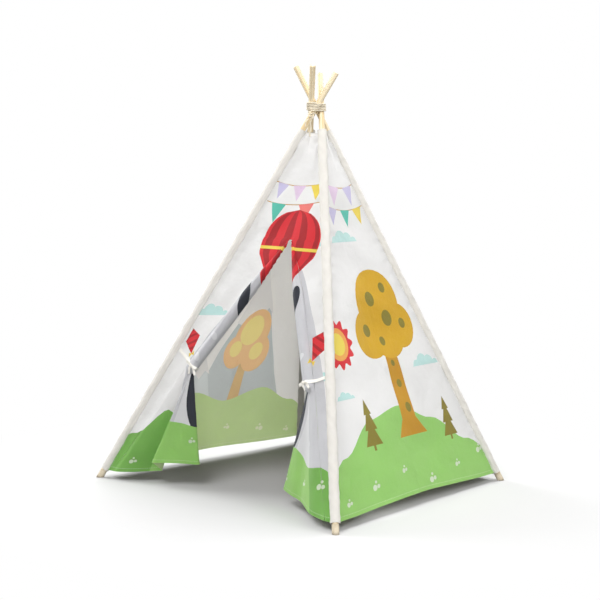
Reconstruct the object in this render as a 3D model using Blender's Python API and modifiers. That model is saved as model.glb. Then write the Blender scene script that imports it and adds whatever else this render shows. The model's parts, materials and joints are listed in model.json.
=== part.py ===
"""Kids teepee: four jointed poles lashed near the top, with a sewn canvas cover.

Metres, +Z up, the door faces -Y, and the floor is the plane z = 0.
"""

import math

import bmesh
import bpy
import numpy as np
from mathutils import Matrix, Vector

# Frame of the tent
FRONT_WIDTH = 1.190
BACK_WIDTH = 1.055
DEPTH = 1.095
CROSSING_HEIGHT = 1.440
CROSSING_OFFSET = 0.019

# Poles, their ferrules and their feet
POLE_LENGTH = 1.800
POLE_RADIUS = 0.011
POLE_END_ROUND = 0.0025
PIECE_GAP = 0.0003
SECTION_GAP = 0.0006
SECTIONS = 3
FERRULE_WALL = 0.0008
FERRULE_LENGTH = 0.080
FOOT_WALL = 0.0016
FOOT_HEIGHT = 0.034
FOOT_FLOOR = 0.0105
FOOT_LIP = 0.0010
FOOT_REACH = 0.012

# Canvas
CLOTH = 0.0012
SLEEVE_RADIUS = 0.0143
SLEEVE_SLACK = SLEEVE_RADIUS - POLE_RADIUS - 2 * PIECE_GAP - FERRULE_WALL
SLEEVE_START = 0.037
CLOTH_TOP = 1.340
HEM_HEIGHT = 0.031
SEAM_GAP = 0.0003
FOLD_GAP = 0.0008
WALL_SAG = 0.010
HEM_LIFT = 0.012

# Door in the front wall
SLIT_TOP_X = 0.052
SLIT_TOP_Z = 0.944
SLIT_OPEN = 0.0138
ROW_SHARES = (
    *(0, 0.09, 0.18, 0.27, 0.36, 0.44, 0.521, 0.549, 0.575, 0.605),
    *(0.64, 0.68, 0.73, 0.78, 0.835, 0.89, 0.945, 1),
)
FLAP_ROWS = len(ROW_SHARES) - 1
GABLE_ROWS = 6
CORNER_INSET = 0.030
ROLL_RADIUS = 0.021
ROLL_START = 0.0045
TIE_SHARE = 0.535
LAG_SHARE = 0.014
STRIP_GAP = 0.0026
FAN_PLEATS = 4
LEFT_FREE_CORNER = (-0.228, -0.385, 0.065)
LEFT_MID_CORNER = (-0.199, -0.385, 0.257)
RIGHT_FREE_CORNER = (0.162, -0.330, 0.045)
RIGHT_MID_CORNER = (0.250, -0.370, 0.245)

# Ribbons of the flaps
RIBBON_WIDTH = 0.012
RIBBON_THICK = 0.0007
RIBBON_GAP = 0.0012
RIBBON_END = 0.0030
RING_SHARE = 1.62
RING_START = 55
LAYER = 0.0014
BOW_REACH = 0.024
BOW_SHARE = 0.8
BOW_PINCH = 0.0008
BOW_HEIGHT = 0.009
BOW_KNOT = 0.0085
BOW_KNOT_DEPTH = 0.0055
BOW_KNOT_ROUND = 0.0016
ARCH_RADIUS = 0.0060
TAIL_WIDTH = 0.0090
TAIL_DROP = 0.040
TAIL_SPREAD_SHARE = 0.16

# Lashing at the crossing
ROPE_RADIUS = 0.0026
ROPE_GAP = 0.0008
ROPE_CLEARANCE = 0.0009
ROPE_TURNS = 5
CORNER_TURN = 88
KNOT_TUBE = 0.0023
KNOT_SIZE = 0.0044
KNOT_PLACE = (0.0150, -0.0440, -0.0340)
KNOT_FACE = (0.60, -0.80, 0.0)
TAIL_TUBE = 0.0023
KNOT_LEAD = (-0.0085, 0.0118, -0.0032)
LEAD_RISE = 0.0030
LONG_TAIL_ROUTE = (
    (0, -0.0158, 0),
    (-0.0035, -0.0300, 0.0020),
    (-0.0005, -0.0470, 0.0025),
    (-0.0045, -0.0640, 0.0040),
    (-0.0035, -0.0800, 0.0055),
)
SHORT_TAIL_ROUTE = (
    (-0.0079, -0.0106, -0.0044),
    (-0.0150, -0.0160, -0.0020),
    (-0.0215, -0.0260, 0.0025),
    (-0.0205, -0.0420, 0.0040),
)

# Finishes: colour and roughness
PINE = ((0.83, 0.69, 0.43), 0.55)
CAP = ((0.72, 0.63, 0.47), 0.62)
ALLOY = ((0.70, 0.71, 0.72), 0.35)
CANVAS = ((0.87, 0.86, 0.83), 0.92)
SLEEVE = ((0.84, 0.80, 0.73), 0.92)
RIBBON = ((0.90, 0.88, 0.83), 0.80)
ROPE = ((0.82, 0.76, 0.62), 0.85)

SIDES = {
    "front_right": (FRONT_WIDTH / 2, -DEPTH / 2),
    "back_right": (BACK_WIDTH / 2, DEPTH / 2),
    "back_left": (-BACK_WIDTH / 2, DEPTH / 2),
    "front_left": (-FRONT_WIDTH / 2, -DEPTH / 2),
}


WALLS = (("right", "front", "back"), ("back", "right", "left"), ("left", "back", "front"))
SIDE_OF = {"right": "{}_right", "back": "back_{}", "left": "{}_left"}
BOWS = {"left": (112, BOW_REACH, 8), "right": (104, BOW_REACH * BOW_SHARE, 50)}


class Pole:
    """Where one pole stands: its foot, its crossing point and its direction."""

    def __init__(self, name, foot):
        self.name = name
        reach = math.hypot(*foot)
        turn = math.atan2(foot[1], foot[0]) - math.asin(CROSSING_OFFSET / reach)
        self.out = Vector((math.cos(turn), math.sin(turn), 0))
        self.hinge = Vector((-math.sin(turn), math.cos(turn), 0))
        self.foot = Vector((foot[0], foot[1], 0))
        self.pivot = Vector((0, 0, CROSSING_HEIGHT))
        self.cross = self.pivot + CROSSING_OFFSET * self.hinge
        self.up = (self.cross - self.foot).normalized()
        self.tilt = math.acos(self.up.z)
        self.side = self.hinge.cross(self.up).normalized()
        self.turned = Matrix((self.side, self.hinge, self.up)).transposed().to_4x4()

    def at_height(self, z):
        """The point of the pole's axis at height z."""
        return self.foot + self.up * (z / self.up.z)

    def sleeve_at(self, z):
        """The point of the sleeve's axis at height z: the cloth is drawn inwards."""
        start = self.foot - self.side * SLEEVE_SLACK
        return start + self.up * ((z - start.z) / self.up.z)

    def frame(self, shift=0):
        """A frame at the foot, with its Z along the pole."""
        return Matrix.Translation(self.foot + self.side * shift) @ self.turned


def clear_scene():
    """Remove every object of the start-up scene."""
    for thing in list(bpy.data.objects):
        bpy.data.objects.remove(thing, do_unlink=True)


def new_collection(name):
    """A collection linked to the scene."""
    found = bpy.data.collections.new(name)
    bpy.context.scene.collection.children.link(found)
    return found


def material(name, finish):
    """The Principled material of one sub-part."""
    made = bpy.data.materials.new(name)
    made.use_nodes = True
    shader = made.node_tree.nodes["Principled BSDF"]
    shader.inputs["Base Color"].default_value = (*finish[0], 1)
    shader.inputs["Roughness"].default_value = finish[1]
    return made


def add(name, data, finish, origin):
    """Link mesh data as a named part, with its origin on the joint's axis."""
    data.name = name
    thing = bpy.data.objects.new(name, data)
    data.transform(Matrix.Translation(-origin))
    thing.location = origin
    data.materials.clear()
    data.materials.append(material(name, finish))
    PARTS.objects.link(thing)
    return thing


def evaluated(thing):
    """The mesh of an object with its modifiers applied, welded."""
    bpy.context.view_layer.update()
    graph = bpy.context.evaluated_depsgraph_get()
    data = bpy.data.meshes.new_from_object(thing.evaluated_get(graph), depsgraph=graph)
    work = bmesh.new()
    work.from_mesh(data)
    bmesh.ops.remove_doubles(work, verts=work.verts, dist=PIECE_GAP / 100)
    bmesh.ops.recalc_face_normals(work, faces=work.faces)
    work.to_mesh(data)
    work.free()
    return data


def drop(thing):
    """Remove a helper object."""
    bpy.data.objects.remove(thing, do_unlink=True)


def turned(name, profile, steps, finish, frame, origin, cut=None):
    """A turned part: a profile at +X swept about Z by a Screw modifier."""
    data = bpy.data.meshes.new(name)
    edges = [(i, i + 1) for i in range(len(profile) - 1)]
    data.from_pydata([(x, 0, z) for x, z in profile], edges, [])
    thing = bpy.data.objects.new(name, data)
    PARTS.objects.link(thing)
    screw = thing.modifiers.new("turn", "SCREW")
    screw.axis = "Z"
    screw.steps = screw.render_steps = steps
    screw.use_merge_vertices = True
    screw.merge_threshold = PIECE_GAP / 10
    screw.use_smooth_shade = True
    made = evaluated(thing)
    made.transform(frame)
    drop(thing)
    if cut is not None:
        made = subtracted(made, cut)
    return add(name, made, finish, origin)


def subtracted(data, cutter):
    """Mesh data less a cutter, by the exact solver."""
    thing = bpy.data.objects.new("cut_from", data)
    PARTS.objects.link(thing)
    boolean = thing.modifiers.new("cut", "BOOLEAN")
    boolean.operation = "DIFFERENCE"
    boolean.solver = "EXACT"
    boolean.object = cutter
    made = evaluated(thing)
    drop(thing)
    return made


def rod(name, radius, start, end, rounds, finish, pole):
    """A solid rod along a pole, with rounded ends where asked for."""
    bevel = POLE_END_ROUND
    profile = [(0, end)]
    if rounds[1]:
        profile += [(radius - bevel, end), (radius, end - bevel)]
    else:
        profile += [(radius, end)]
    if rounds[0]:
        profile += [(radius, start + bevel), (radius - bevel, start)]
    else:
        profile += [(radius, start)]
    profile += [(0, start)]
    return turned(name, profile, 20, finish, pole.frame(), pole.pivot)


def pipe(name, inner, outer, span, steps, finish, pole, shift=0):
    """A tube along a pole."""
    start, end = span
    profile = [(inner, end), (outer, end), (outer, start), (inner, start), (inner, end)]
    return turned(name, profile, steps, finish, pole.frame(shift), pole.pivot)


def sheet(name, rows, columns, point, finish, origin, thickness=CLOTH):
    """A cloth: a grid whose places come from point(u, v), given a thickness."""
    work = bmesh.new()
    bmesh.ops.create_grid(work, x_segments=columns, y_segments=rows, size=0.5)
    for vert in work.verts:
        vert.co = point(vert.co.x + 0.5, vert.co.y + 0.5)
    data = bpy.data.meshes.new(name)
    work.to_mesh(data)
    work.free()
    thing = bpy.data.objects.new(name, data)
    PARTS.objects.link(thing)
    thick = thing.modifiers.new("cloth", "SOLIDIFY")
    thick.thickness = thickness
    thick.offset = 0
    made = evaluated(thing)
    drop(thing)
    for face in made.polygons:
        face.use_smooth = True
    return add(name, made, finish, origin)


def band(name, path, frame, width, finish, origin, closed=False):
    """A flat ribbon: a path in the frame's XY plane, drawn out along its Z."""
    curve = bpy.data.curves.new(name, "CURVE")
    curve.dimensions = "2D"
    curve.fill_mode = "NONE"
    curve.extrude = width / 2
    line = curve.splines.new("POLY")
    line.points.add(len(path) - 1)
    for spot, place in zip(line.points, path):
        spot.co = (place[0], place[1], 0, 1)
    line.use_cyclic_u = closed
    thing = bpy.data.objects.new(name, curve)
    PARTS.objects.link(thing)
    flat = evaluated(thing)
    drop(thing)
    thing = bpy.data.objects.new(name, flat)
    PARTS.objects.link(thing)
    thick = thing.modifiers.new("ribbon", "SOLIDIFY")
    thick.thickness = RIBBON_THICK
    thick.offset = 0
    made = evaluated(thing)
    drop(thing)
    made.transform(frame)
    return add(name, made, finish, origin)


def tube(name, path, radius, resolution, finish, origin, closed=False):
    """A round cord along a path."""
    curve = bpy.data.curves.new(name, "CURVE")
    curve.dimensions = "3D"
    curve.bevel_depth = radius
    curve.bevel_resolution = resolution
    curve.use_fill_caps = not closed
    line = curve.splines.new("POLY")
    line.points.add(len(path) - 1)
    for spot, place in zip(line.points, path):
        spot.co = (*place, 1)
    line.use_cyclic_u = closed
    thing = bpy.data.objects.new(name, curve)
    PARTS.objects.link(thing)
    made = evaluated(thing)
    drop(thing)
    return add(name, made, finish, origin)


def smooth(share):
    """An even start and stop between 0 and 1."""
    share = min(1, max(0, share))
    return share * share * (3 - 2 * share)


def mix(low, high, share):
    """The place a share of the way between two."""
    return low + (high - low) * share


# Poles, ferrules and feet
def build_pole(pole, floor):
    """One pole of three sections, its two ferrules, its foot and its sleeve."""
    step = POLE_LENGTH / SECTIONS
    start = FOOT_FLOOR + PIECE_GAP
    names = ("lower", "middle", "upper")
    for number, word in enumerate(names):
        low = start if number == 0 else number * step + SECTION_GAP / 2
        last = number == SECTIONS - 1
        high = POLE_LENGTH if last else (number + 1) * step - SECTION_GAP / 2
        rod(f"pole_{pole.name}_{word}", POLE_RADIUS, low, high, (False, last), PINE, pole)
    inner = POLE_RADIUS + PIECE_GAP
    for number, word in enumerate(("lower", "upper")):
        middle = (number + 1) * step
        span = (middle - FERRULE_LENGTH / 2, middle + FERRULE_LENGTH / 2)
        name = f"ferrule_{pole.name}_{word}"
        pipe(name, inner, inner + FERRULE_WALL, span, 20, ALLOY, pole)
    outer = inner + FOOT_WALL
    profile = [
        (0, FOOT_FLOOR),
        (inner, FOOT_FLOOR),
        (inner, FOOT_HEIGHT),
        (outer - FOOT_LIP, FOOT_HEIGHT),
        (outer, FOOT_HEIGHT - FOOT_LIP),
        (outer, -FOOT_REACH),
        (0, -FOOT_REACH),
    ]
    turned(f"foot_{pole.name}", profile, 24, CAP, pole.frame(), pole.pivot, floor)
    span = (SLEEVE_START, (CLOTH_TOP + HEM_LIFT) / pole.up.z)
    outer = SLEEVE_RADIUS + CLOTH
    name = f"sleeve_{pole.name}"
    pipe(name, SLEEVE_RADIUS, outer, span, 16, SLEEVE, pole, -SLEEVE_SLACK)


# Walls of the cover
def seam_point(pole, toward, z):
    """Where a wall meets the side of a pole's sleeve at height z."""
    spot = pole.sleeve_at(z)
    way = toward.sleeve_at(z) - spot
    way.normalize()
    spread = SLEEVE_RADIUS + CLOTH + SEAM_GAP
    return spot + way * (spread / math.sqrt(1 - (way @ pole.up) ** 2))


def wall_point(pole, other, u, v):
    """A point of a half wall: u runs from the sleeve to the middle, v upwards."""
    inward = -(pole.out + other.out).normalized()
    low = HEM_HEIGHT + HEM_LIFT * math.sin(math.pi / 2 * u) ** 2
    z = mix(low, CLOTH_TOP, v)
    near, far = seam_point(pole, other, z), seam_point(other, pole, z)
    middle = (near + far) / 2 - (far - near).normalized() * FOLD_GAP / 2
    sag = WALL_SAG * math.sin(math.pi / 2 * u) * math.sin(math.pi * v) ** 0.8
    return near + (middle - near) * u + inward * sag


def build_wall(name, pole, other):
    """The half of a wall that is sewn to one pole."""
    sheet(name, 9, 5, lambda u, v: wall_point(pole, other, u, v), CANVAS, pole.pivot)


class Door:
    """One side of the door: its fold line from the slit's top to the hem's corner."""

    def __init__(self, pole, other, middle, corner):
        self.pole, self.other = pole, other
        self.sign = 1 if pole.foot.x > 0 else -1
        plane_low = seam_point(pole, other, HEM_HEIGHT)
        slit = SLIT_TOP_X + self.sign * (ROLL_START + CLOTH)
        self.top = Vector((slit, self.front_y(SLIT_TOP_Z), SLIT_TOP_Z))
        self.low = plane_low - Vector((self.sign * CORNER_INSET, 0, 0))
        self.line = (self.low - self.top).normalized()
        self.length = (self.low - self.top).length
        self.tie = self.top + (self.low - self.top) * TIE_SHARE
        self.middle, self.corner = Vector(middle), Vector(corner)
        a, b = self.pole.at_height(SLIT_TOP_Z), self.other.at_height(SLIT_TOP_Z)
        ways = (b - a).normalized().cross(self.line)
        self.normal = ways.normalized() * (1 if ways.y < 0 else -1)
        self.across = self.line.cross(self.normal).normalized()
        if self.across.x * self.sign > 0:
            self.across.negate()

    def front_y(self, z):
        """Where the front wall stands at height z."""
        a, b = self.pole.at_height(z), self.other.at_height(z)
        return (a.y + b.y) / 2

    def roll(self, share):
        """How thick the gathered roll is at a share of the fold line."""
        grown = smooth(share / TIE_SHARE)
        return ROLL_START + (ROLL_RADIUS - ROLL_START) * grown

    def strip_point(self, u, v):
        """A point of the half front wall: u from the sleeve, v from the hem up."""
        row = round(v * (FLAP_ROWS + GABLE_ROWS))
        if row < FLAP_ROWS:
            share = ROW_SHARES[FLAP_ROWS - row]
            edge = self.top + (self.low - self.top) * share
            near = seam_point(self.pole, self.other, edge.z)
            clear = min(self.roll(share), self.strip_room(share))
            fall = fan_share(share)
            clear *= 1 - smooth(fall * 3) * fall
            edge = edge - self.across * (clear + STRIP_GAP)
        else:
            share = (row - FLAP_ROWS) / GABLE_ROWS
            z = mix(SLIT_TOP_Z, CLOTH_TOP, share)
            near = seam_point(self.pole, self.other, z)
            far = seam_point(self.other, self.pole, z)
            middle = (near + far) / 2
            top_x = SLIT_TOP_X * (1 - share)
            edge = Vector((middle.x * share + top_x, middle.y, z))
            edge.x += self.sign * max(FOLD_GAP / 2, SLIT_OPEN * (1 - share * 5))
        return near + (edge - near) * u

    def strip_room(self, share):
        """How far the roll may reach towards the sleeve."""
        z = mix(SLIT_TOP_Z, self.low.z, share)
        near = seam_point(self.pole, self.other, z)
        edge = self.top + (self.low - self.top) * share
        return (edge - near).length / 2


def fan_share(share):
    """How far down its fan a flap is, at a share of its fold line."""
    start = TIE_SHARE + LAG_SHARE
    return max(0, (share - start) / (1 - start))


def flap_point(door, u, v):
    """A point of a tied-back flap: u across its pleats, v down the fold line."""
    share = ROW_SHARES[round(v * FLAP_ROWS)]
    base = door.top + (door.low - door.top) * share
    roll = door.roll(share)
    arch = math.sqrt(max(0, 1 - (2 * u - 1) ** 2)) * 0.94 + 0.06
    wave = math.sin(2 * math.pi * FAN_PLEATS * u)
    tied = base + door.across * roll * (2 * u - 1) + door.normal * roll * arch * wave
    fall = fan_share(share)
    if fall == 0:
        return tied
    edge = bend(door.tie + door.across * door.roll(TIE_SHARE), door.middle, door.corner, fall)
    start = base - door.across * roll * (1 - fall)
    spread = edge - start
    flat = Vector((spread.y, -spread.x, 0)).normalized()
    deep = mix(ROLL_RADIUS, pleat_depth(door, spread.length), smooth(fall * 2))
    fan = start + spread * u + flat * deep * wave * (arch if fall < 0.5 else mix(arch, 1, fall * 2 - 1))
    return tied.lerp(fan, smooth(fall * 3))


def pleat_depth(door, spread):
    """How deep the pleats are where the flap hangs spread."""
    full = abs(SLIT_TOP_X - door.low.x)
    return math.sqrt(max(0, full**2 - spread**2)) / (FAN_PLEATS * 5)


def bend(a, b, c, t):
    """A smooth line from a past b to c."""
    middle = b * 2 - (a + c) / 2
    return a * (1 - t) ** 2 + middle * 2 * t * (1 - t) + c * t * t


def build_door(door, word):
    """The half front wall and the flap of one side."""
    rows = FLAP_ROWS + GABLE_ROWS
    sheet(f"front_wall_{word}", rows, 4, door.strip_point, CANVAS, door.pole.pivot)
    sheet(
        f"{word}_flap", FLAP_ROWS, 24, lambda u, v: flap_point(door, u, 1 - v), CANVAS, door.top
    )


# Ribbons
class Tie:
    """Axes at the place where a ribbon goes round a flap's roll."""

    def __init__(self, door):
        self.door = door
        self.x = -door.across
        self.y = door.normal
        self.z = self.x.cross(self.y)
        self.frame = Matrix.Translation(door.tie) @ axes(self.x, self.y, self.z)
        self.ring = ROLL_RADIUS + RIBBON_GAP

    def outer(self, degrees, layer):
        """A frame outside the ring: Y away from the roll, X along the ribbon."""
        turn = math.radians(degrees)
        away = self.x * math.cos(turn) + self.y * math.sin(turn)
        along = self.y * math.cos(turn) - self.x * math.sin(turn)
        place = self.door.tie + away * (self.ring + layer * LAYER)
        return place, away, along


def axes(x, y, z):
    """A turn whose columns are three axes."""
    return Matrix((x, y, z)).transposed().to_4x4()


def build_ribbon(tie, word):
    """The ribbon that is sewn to the sleeve and goes round a flap's roll."""
    door, ring = tie.door, tie.ring
    seam = seam_point(door.pole, door.other, door.tie.z) - door.tie
    sewn, rise = seam @ tie.x, seam @ tie.y
    wall = CLOTH / 2 + RIBBON_GAP
    path = [(sewn - RIBBON_END, rise + wall), (ring * RING_SHARE, wall)]
    steps = 16
    for number in range(steps + 1):
        angle = math.radians(mix(RING_START, 360 - RING_START, number / steps))
        path.append((ring * math.cos(angle), ring * math.sin(angle)))
    path += [(ring * RING_SHARE, -wall), (sewn - RIBBON_END, rise - wall)]
    band(f"{word}_ribbon", path, tie.frame, RIBBON_WIDTH, RIBBON, door.pole.pivot)


def build_bow(tie, word, degrees, reach):
    """The two loops of a bow, with their middle pinched flat."""
    place, away, along = tie.outer(degrees, 1.5)
    path = []
    steps = 9
    for side in (-1, 1):
        loop = []
        for number in range(steps + 1):
            share = number / steps
            far = math.sin(math.pi * share)
            rise = (1 - math.cos(math.pi * share)) / 2
            x = side * (reach * far + BOW_PINCH)
            y = BOW_HEIGHT * rise * far**1.2 + LAYER * 0.9 * share
            loop.append((x, y))
        path += loop if side < 0 else loop[::-1]
    frame = Matrix.Translation(place) @ axes(along, away, along.cross(away))
    band(f"{word}_bow", path, frame, RIBBON_WIDTH * BOW_SHARE, RIBBON, tie.door.pole.pivot)


def build_bow_knot(tie, word, degrees):
    """The small knot that holds a bow's middle."""
    place, away, along = tie.outer(degrees, 3.4)
    data = bpy.data.meshes.new(f"{word}_bow_knot")
    work = bmesh.new()
    bmesh.ops.create_cube(work, size=1)
    half = BOW_KNOT_DEPTH / 2
    bmesh.ops.scale(work, vec=(BOW_KNOT, BOW_KNOT_DEPTH, RIBBON_WIDTH * BOW_SHARE), verts=work.verts)
    bmesh.ops.bevel(
        work, geom=work.edges[:], offset=BOW_KNOT_ROUND, segments=3, affect="EDGES", profile=0.5
    )
    work.to_mesh(data)
    work.free()
    data.transform(axes(along, away, along.cross(away)))
    data.transform(Matrix.Translation(place + away * half))
    add(f"{word}_bow_knot", data, RIBBON, tie.door.pole.pivot)


def build_tails(tie, word, degrees, turn):
    """The two hanging ends of a ribbon, one arch of cloth under the knot."""
    place, away, _along = tie.outer(degrees, 0.75)
    down = (Vector((0, 0, -1)) + away * away.z).normalized()
    side = away.cross(down)
    spin = Matrix.Rotation(math.radians(turn), 3, away)
    down, side = spin @ down, spin @ side
    arch = ARCH_RADIUS * math.pi
    total = arch + 2 * TAIL_DROP

    def point(u, v):
        """A point of the arch: u along it, v across the ribbon."""
        run = u * total - total / 2
        out = (v - 0.5) * TAIL_WIDTH
        if abs(run) < arch / 2:
            angle = run / ARCH_RADIUS
            radius = ARCH_RADIUS + out
            return place + side * radius * math.sin(angle) - down * radius * math.cos(angle)
        leg = (abs(run) - arch / 2) * (1 if run < 0 else 0.8)
        wide = ARCH_RADIUS + out + leg * TAIL_SPREAD_SHARE
        return place + side * math.copysign(wide, run) + down * leg

    sheet(
        f"{word}_bow_tails", 1, 32, point, RIBBON, tie.door.pole.pivot, RIBBON_THICK
    )


# Lashing
def bundle_corner(pole, rise):
    """The middle of a pole where it passes a height above the crossing."""
    return pole.cross + pole.up * (rise / pole.up.z) - Vector((0, 0, rise)) - pole.pivot


def lashing_path(poles, lead):
    """The rope's way round the four poles, up from where it leaves the knot."""
    pitch = 2 * ROPE_RADIUS + ROPE_GAP
    total = pitch * ROPE_TURNS
    order = sorted(poles, key=lambda p: math.atan2(p.hinge.y, p.hinge.x))
    while order[0].name != "front_left":
        order.append(order.pop(0))
    steps = 8
    places = []
    count = ROPE_TURNS * 4 * steps
    reach = ROPE_RADIUS + ROPE_CLEARANCE
    for number in range(steps // 2, count + 1):
        corner = (number // steps) % 4
        part = (number % steps) / (steps - 1)
        rise = total * (number / count - 0.5)
        pole = order[corner]
        spot = bundle_corner(pole, rise)
        base = math.atan2(spot.y, spot.x)
        angle = base + math.radians(CORNER_TURN) * (part - 0.5)
        wide = POLE_RADIUS / pole.up.z + reach
        x, y = spot.x + wide * math.cos(angle), spot.y + wide * math.sin(angle)
        places.append(Vector((x, y, CROSSING_HEIGHT + rise)))
    return [lead, lead + Vector((0, 0, LEAD_RISE)), *places]


def least_gap(path, radius, closed):
    """The least gap between two parts of one tube, measured on its points."""
    spots = np.array([tuple(p) for p in path])
    steps = np.linalg.norm(np.diff(spots, axis=0), axis=1)
    fine = []
    for a, b, step in zip(spots, spots[1:], steps):
        parts = max(1, math.ceil(step / radius))
        fine += [a + (b - a) * k / parts for k in range(parts)]
    if closed:
        fine += [spots[-1] + (spots[0] - spots[-1]) * k / 4 for k in range(4)]
    fine = np.array(fine)
    run = np.r_[0, np.cumsum(np.linalg.norm(np.diff(fine, axis=0), axis=1))]
    apart = np.abs(run[:, None] - run[None, :])
    if closed:
        apart = np.minimum(apart, run[-1] - apart)
    away = np.linalg.norm(fine[:, None] - fine[None, :], axis=2)
    return away[apart > radius * 6].min() - 2 * radius


def build_lashing(poles):
    """The rope's winding, its knot and its two tails."""
    pivot = poles[0].pivot
    face = Vector(KNOT_FACE).normalized()
    side = Vector((0, 0, 1)).cross(face)
    centre = pivot + Vector(KNOT_PLACE)
    lead = knot_place(centre, side, face, KNOT_LEAD)
    winding = lashing_path(poles, lead)
    tube("lashing_rope", winding, ROPE_RADIUS, 2, ROPE, pivot)
    turn = axes(side, face.cross(side), face)
    loop = []
    steps = 30
    for number in range(steps):
        t = 2 * math.pi * number / steps
        x = math.sin(t) + 2 * math.sin(2 * t)
        y = math.cos(t) - 2 * math.cos(2 * t)
        loop.append(centre + turn @ (Vector((x, y, -math.sin(3 * t))) * KNOT_SIZE))
    tube("lashing_knot", loop, KNOT_TUBE, 1, ROPE, pivot, closed=True)
    for name, path, radius, closed in (
        ("lashing_rope", winding, ROPE_RADIUS, False),
        ("lashing_knot", loop, KNOT_TUBE, True),
    ):
        print(f"{name}: least gap to itself {least_gap(path, radius, closed) * 1000:.2f} mm")
    for name, route in (("rope_tail_long", LONG_TAIL_ROUTE), ("rope_tail_short", SHORT_TAIL_ROUTE)):
        build_tail(name, [knot_place(centre, side, face, place) for place in route], pivot)


def knot_place(centre, side, face, place):
    """A point given by how far it is to the side of, above and before the knot."""
    return centre + side * place[0] + Vector((0, 0, place[1])) + face * place[2]


def build_tail(name, spots, origin):
    """One loose end of the lashing, a smooth line through its spots."""
    path = []
    steps = 4
    padded = [spots[0] * 2 - spots[1], *spots, spots[-1] * 2 - spots[-2]]
    for a, b, c, d in zip(padded, padded[1:], padded[2:], padded[3:]):
        for number in range(steps):
            t = number / steps
            slope, bow, twist = c - a, a * 2 - b * 5 + c * 4 - d, b * 3 - a - c * 3 + d
            path.append(b + (slope * t + bow * t**2 + twist * t**3) / 2)
    path.append(spots[-1])
    tube(name, path, TAIL_TUBE, 2, ROPE, origin)


def main():
    """Build every part."""
    floor_data = bpy.data.meshes.new("floor_cut")
    work = bmesh.new()
    bmesh.ops.create_cube(work, size=1)
    for vert in work.verts:
        vert.co.x *= FRONT_WIDTH * 2
        vert.co.y *= FRONT_WIDTH * 2
        vert.co.z = 0 if vert.co.z > 0 else -FOOT_HEIGHT
    work.to_mesh(floor_data)
    work.free()
    floor = bpy.data.objects.new("floor_cut", floor_data)
    floor.hide_render = True
    floor.display_type = "WIRE"
    GUIDES.objects.link(floor)

    poles = {name: Pole(name, foot) for name, foot in SIDES.items()}
    for pole in poles.values():
        build_pole(pole, floor)
    for wall, first, second in WALLS:
        pair = {word: poles[SIDE_OF[wall].format(word)] for word in (first, second)}
        build_wall(f"{wall}_wall_{first}", pair[first], pair[second])
        build_wall(f"{wall}_wall_{second}", pair[second], pair[first])
    left = Door(poles["front_left"], poles["front_right"], LEFT_MID_CORNER, LEFT_FREE_CORNER)
    right = Door(poles["front_right"], poles["front_left"], RIGHT_MID_CORNER, RIGHT_FREE_CORNER)
    for door, word in ((left, "left"), (right, "right")):
        build_door(door, word)
        tie = Tie(door)
        build_ribbon(tie, word)
        degrees, reach, turn = BOWS[word]
        build_tails(tie, word, degrees, turn)
        build_bow(tie, word, degrees, reach)
        build_bow_knot(tie, word, degrees)
    build_lashing(list(poles.values()))


clear_scene()
PARTS = new_collection("kids_teepee")
GUIDES = new_collection("guides")
main()
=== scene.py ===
"""Looks of the kids teepee: printed canvas on four lashed pine poles."""

import json
import logging
import math
from collections.abc import Callable, Sequence
from dataclasses import dataclass, field
from enum import Enum
from functools import partial

import bmesh
import bpy
import numpy as np
from mathutils import Matrix, Vector
from mathutils.geometry import delaunay_2d_cdt


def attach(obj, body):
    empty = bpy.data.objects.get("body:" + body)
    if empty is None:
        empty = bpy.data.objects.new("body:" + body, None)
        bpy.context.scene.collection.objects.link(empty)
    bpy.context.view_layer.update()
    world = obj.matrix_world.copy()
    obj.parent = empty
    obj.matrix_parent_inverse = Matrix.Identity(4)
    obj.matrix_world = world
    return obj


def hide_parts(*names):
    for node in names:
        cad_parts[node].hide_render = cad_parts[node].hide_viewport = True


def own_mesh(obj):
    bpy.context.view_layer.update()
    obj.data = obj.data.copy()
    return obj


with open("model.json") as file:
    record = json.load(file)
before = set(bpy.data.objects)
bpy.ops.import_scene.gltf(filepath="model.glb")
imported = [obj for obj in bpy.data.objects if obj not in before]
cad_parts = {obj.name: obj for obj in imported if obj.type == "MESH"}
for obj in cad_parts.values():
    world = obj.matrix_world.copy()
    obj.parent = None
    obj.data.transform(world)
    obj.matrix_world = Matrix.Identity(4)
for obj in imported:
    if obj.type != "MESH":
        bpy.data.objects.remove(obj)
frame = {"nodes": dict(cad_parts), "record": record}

log = logging.getLogger("teepee")

Place = tuple[float, float]
Point = tuple[float, float, float]
Mapping = Callable[[np.ndarray], np.ndarray]
Mesh, Piece = bpy.types.Mesh, bpy.types.Object
Material, Socket = bpy.types.Material, bpy.types.NodeSocket

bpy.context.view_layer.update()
UP = np.array((0.0, 0.0, 1.0))
WHITE = (1.0, 1.0, 1.0)
SHARP = math.radians(50)
HALF_TURN, TURN = math.pi, 2 * math.pi
TINY = 1e-6


def srgb(code: str) -> Point:
    """Return the linear colour of a hexadecimal code."""
    parts = [int(code[k : k + 2], 16) / 255 for k in (0, 2, 4)]
    return tuple(p / 12.92 if p < 0.04045 else ((p + 0.055) / 1.055) ** 2.4 for p in parts)


def unit(rows: np.ndarray) -> np.ndarray:
    """Return vectors made one long."""
    return rows / np.maximum(np.linalg.norm(rows, axis=-1, keepdims=True), 1e-12)


def smooth(share: np.ndarray) -> np.ndarray:
    """Return shares from 0 to 1 with an even start and stop."""
    held = np.clip(share, 0, 1)
    return held * held * (3 - 2 * held)


def run_along(line: np.ndarray) -> np.ndarray:
    """Return how far along a line each of its points is."""
    return np.r_[0, np.cumsum(np.linalg.norm(np.diff(line, axis=0), axis=1))]


def circle(count: int) -> np.ndarray:
    """Return even angles once round."""
    return np.linspace(0, TURN, count, endpoint=False)


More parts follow.
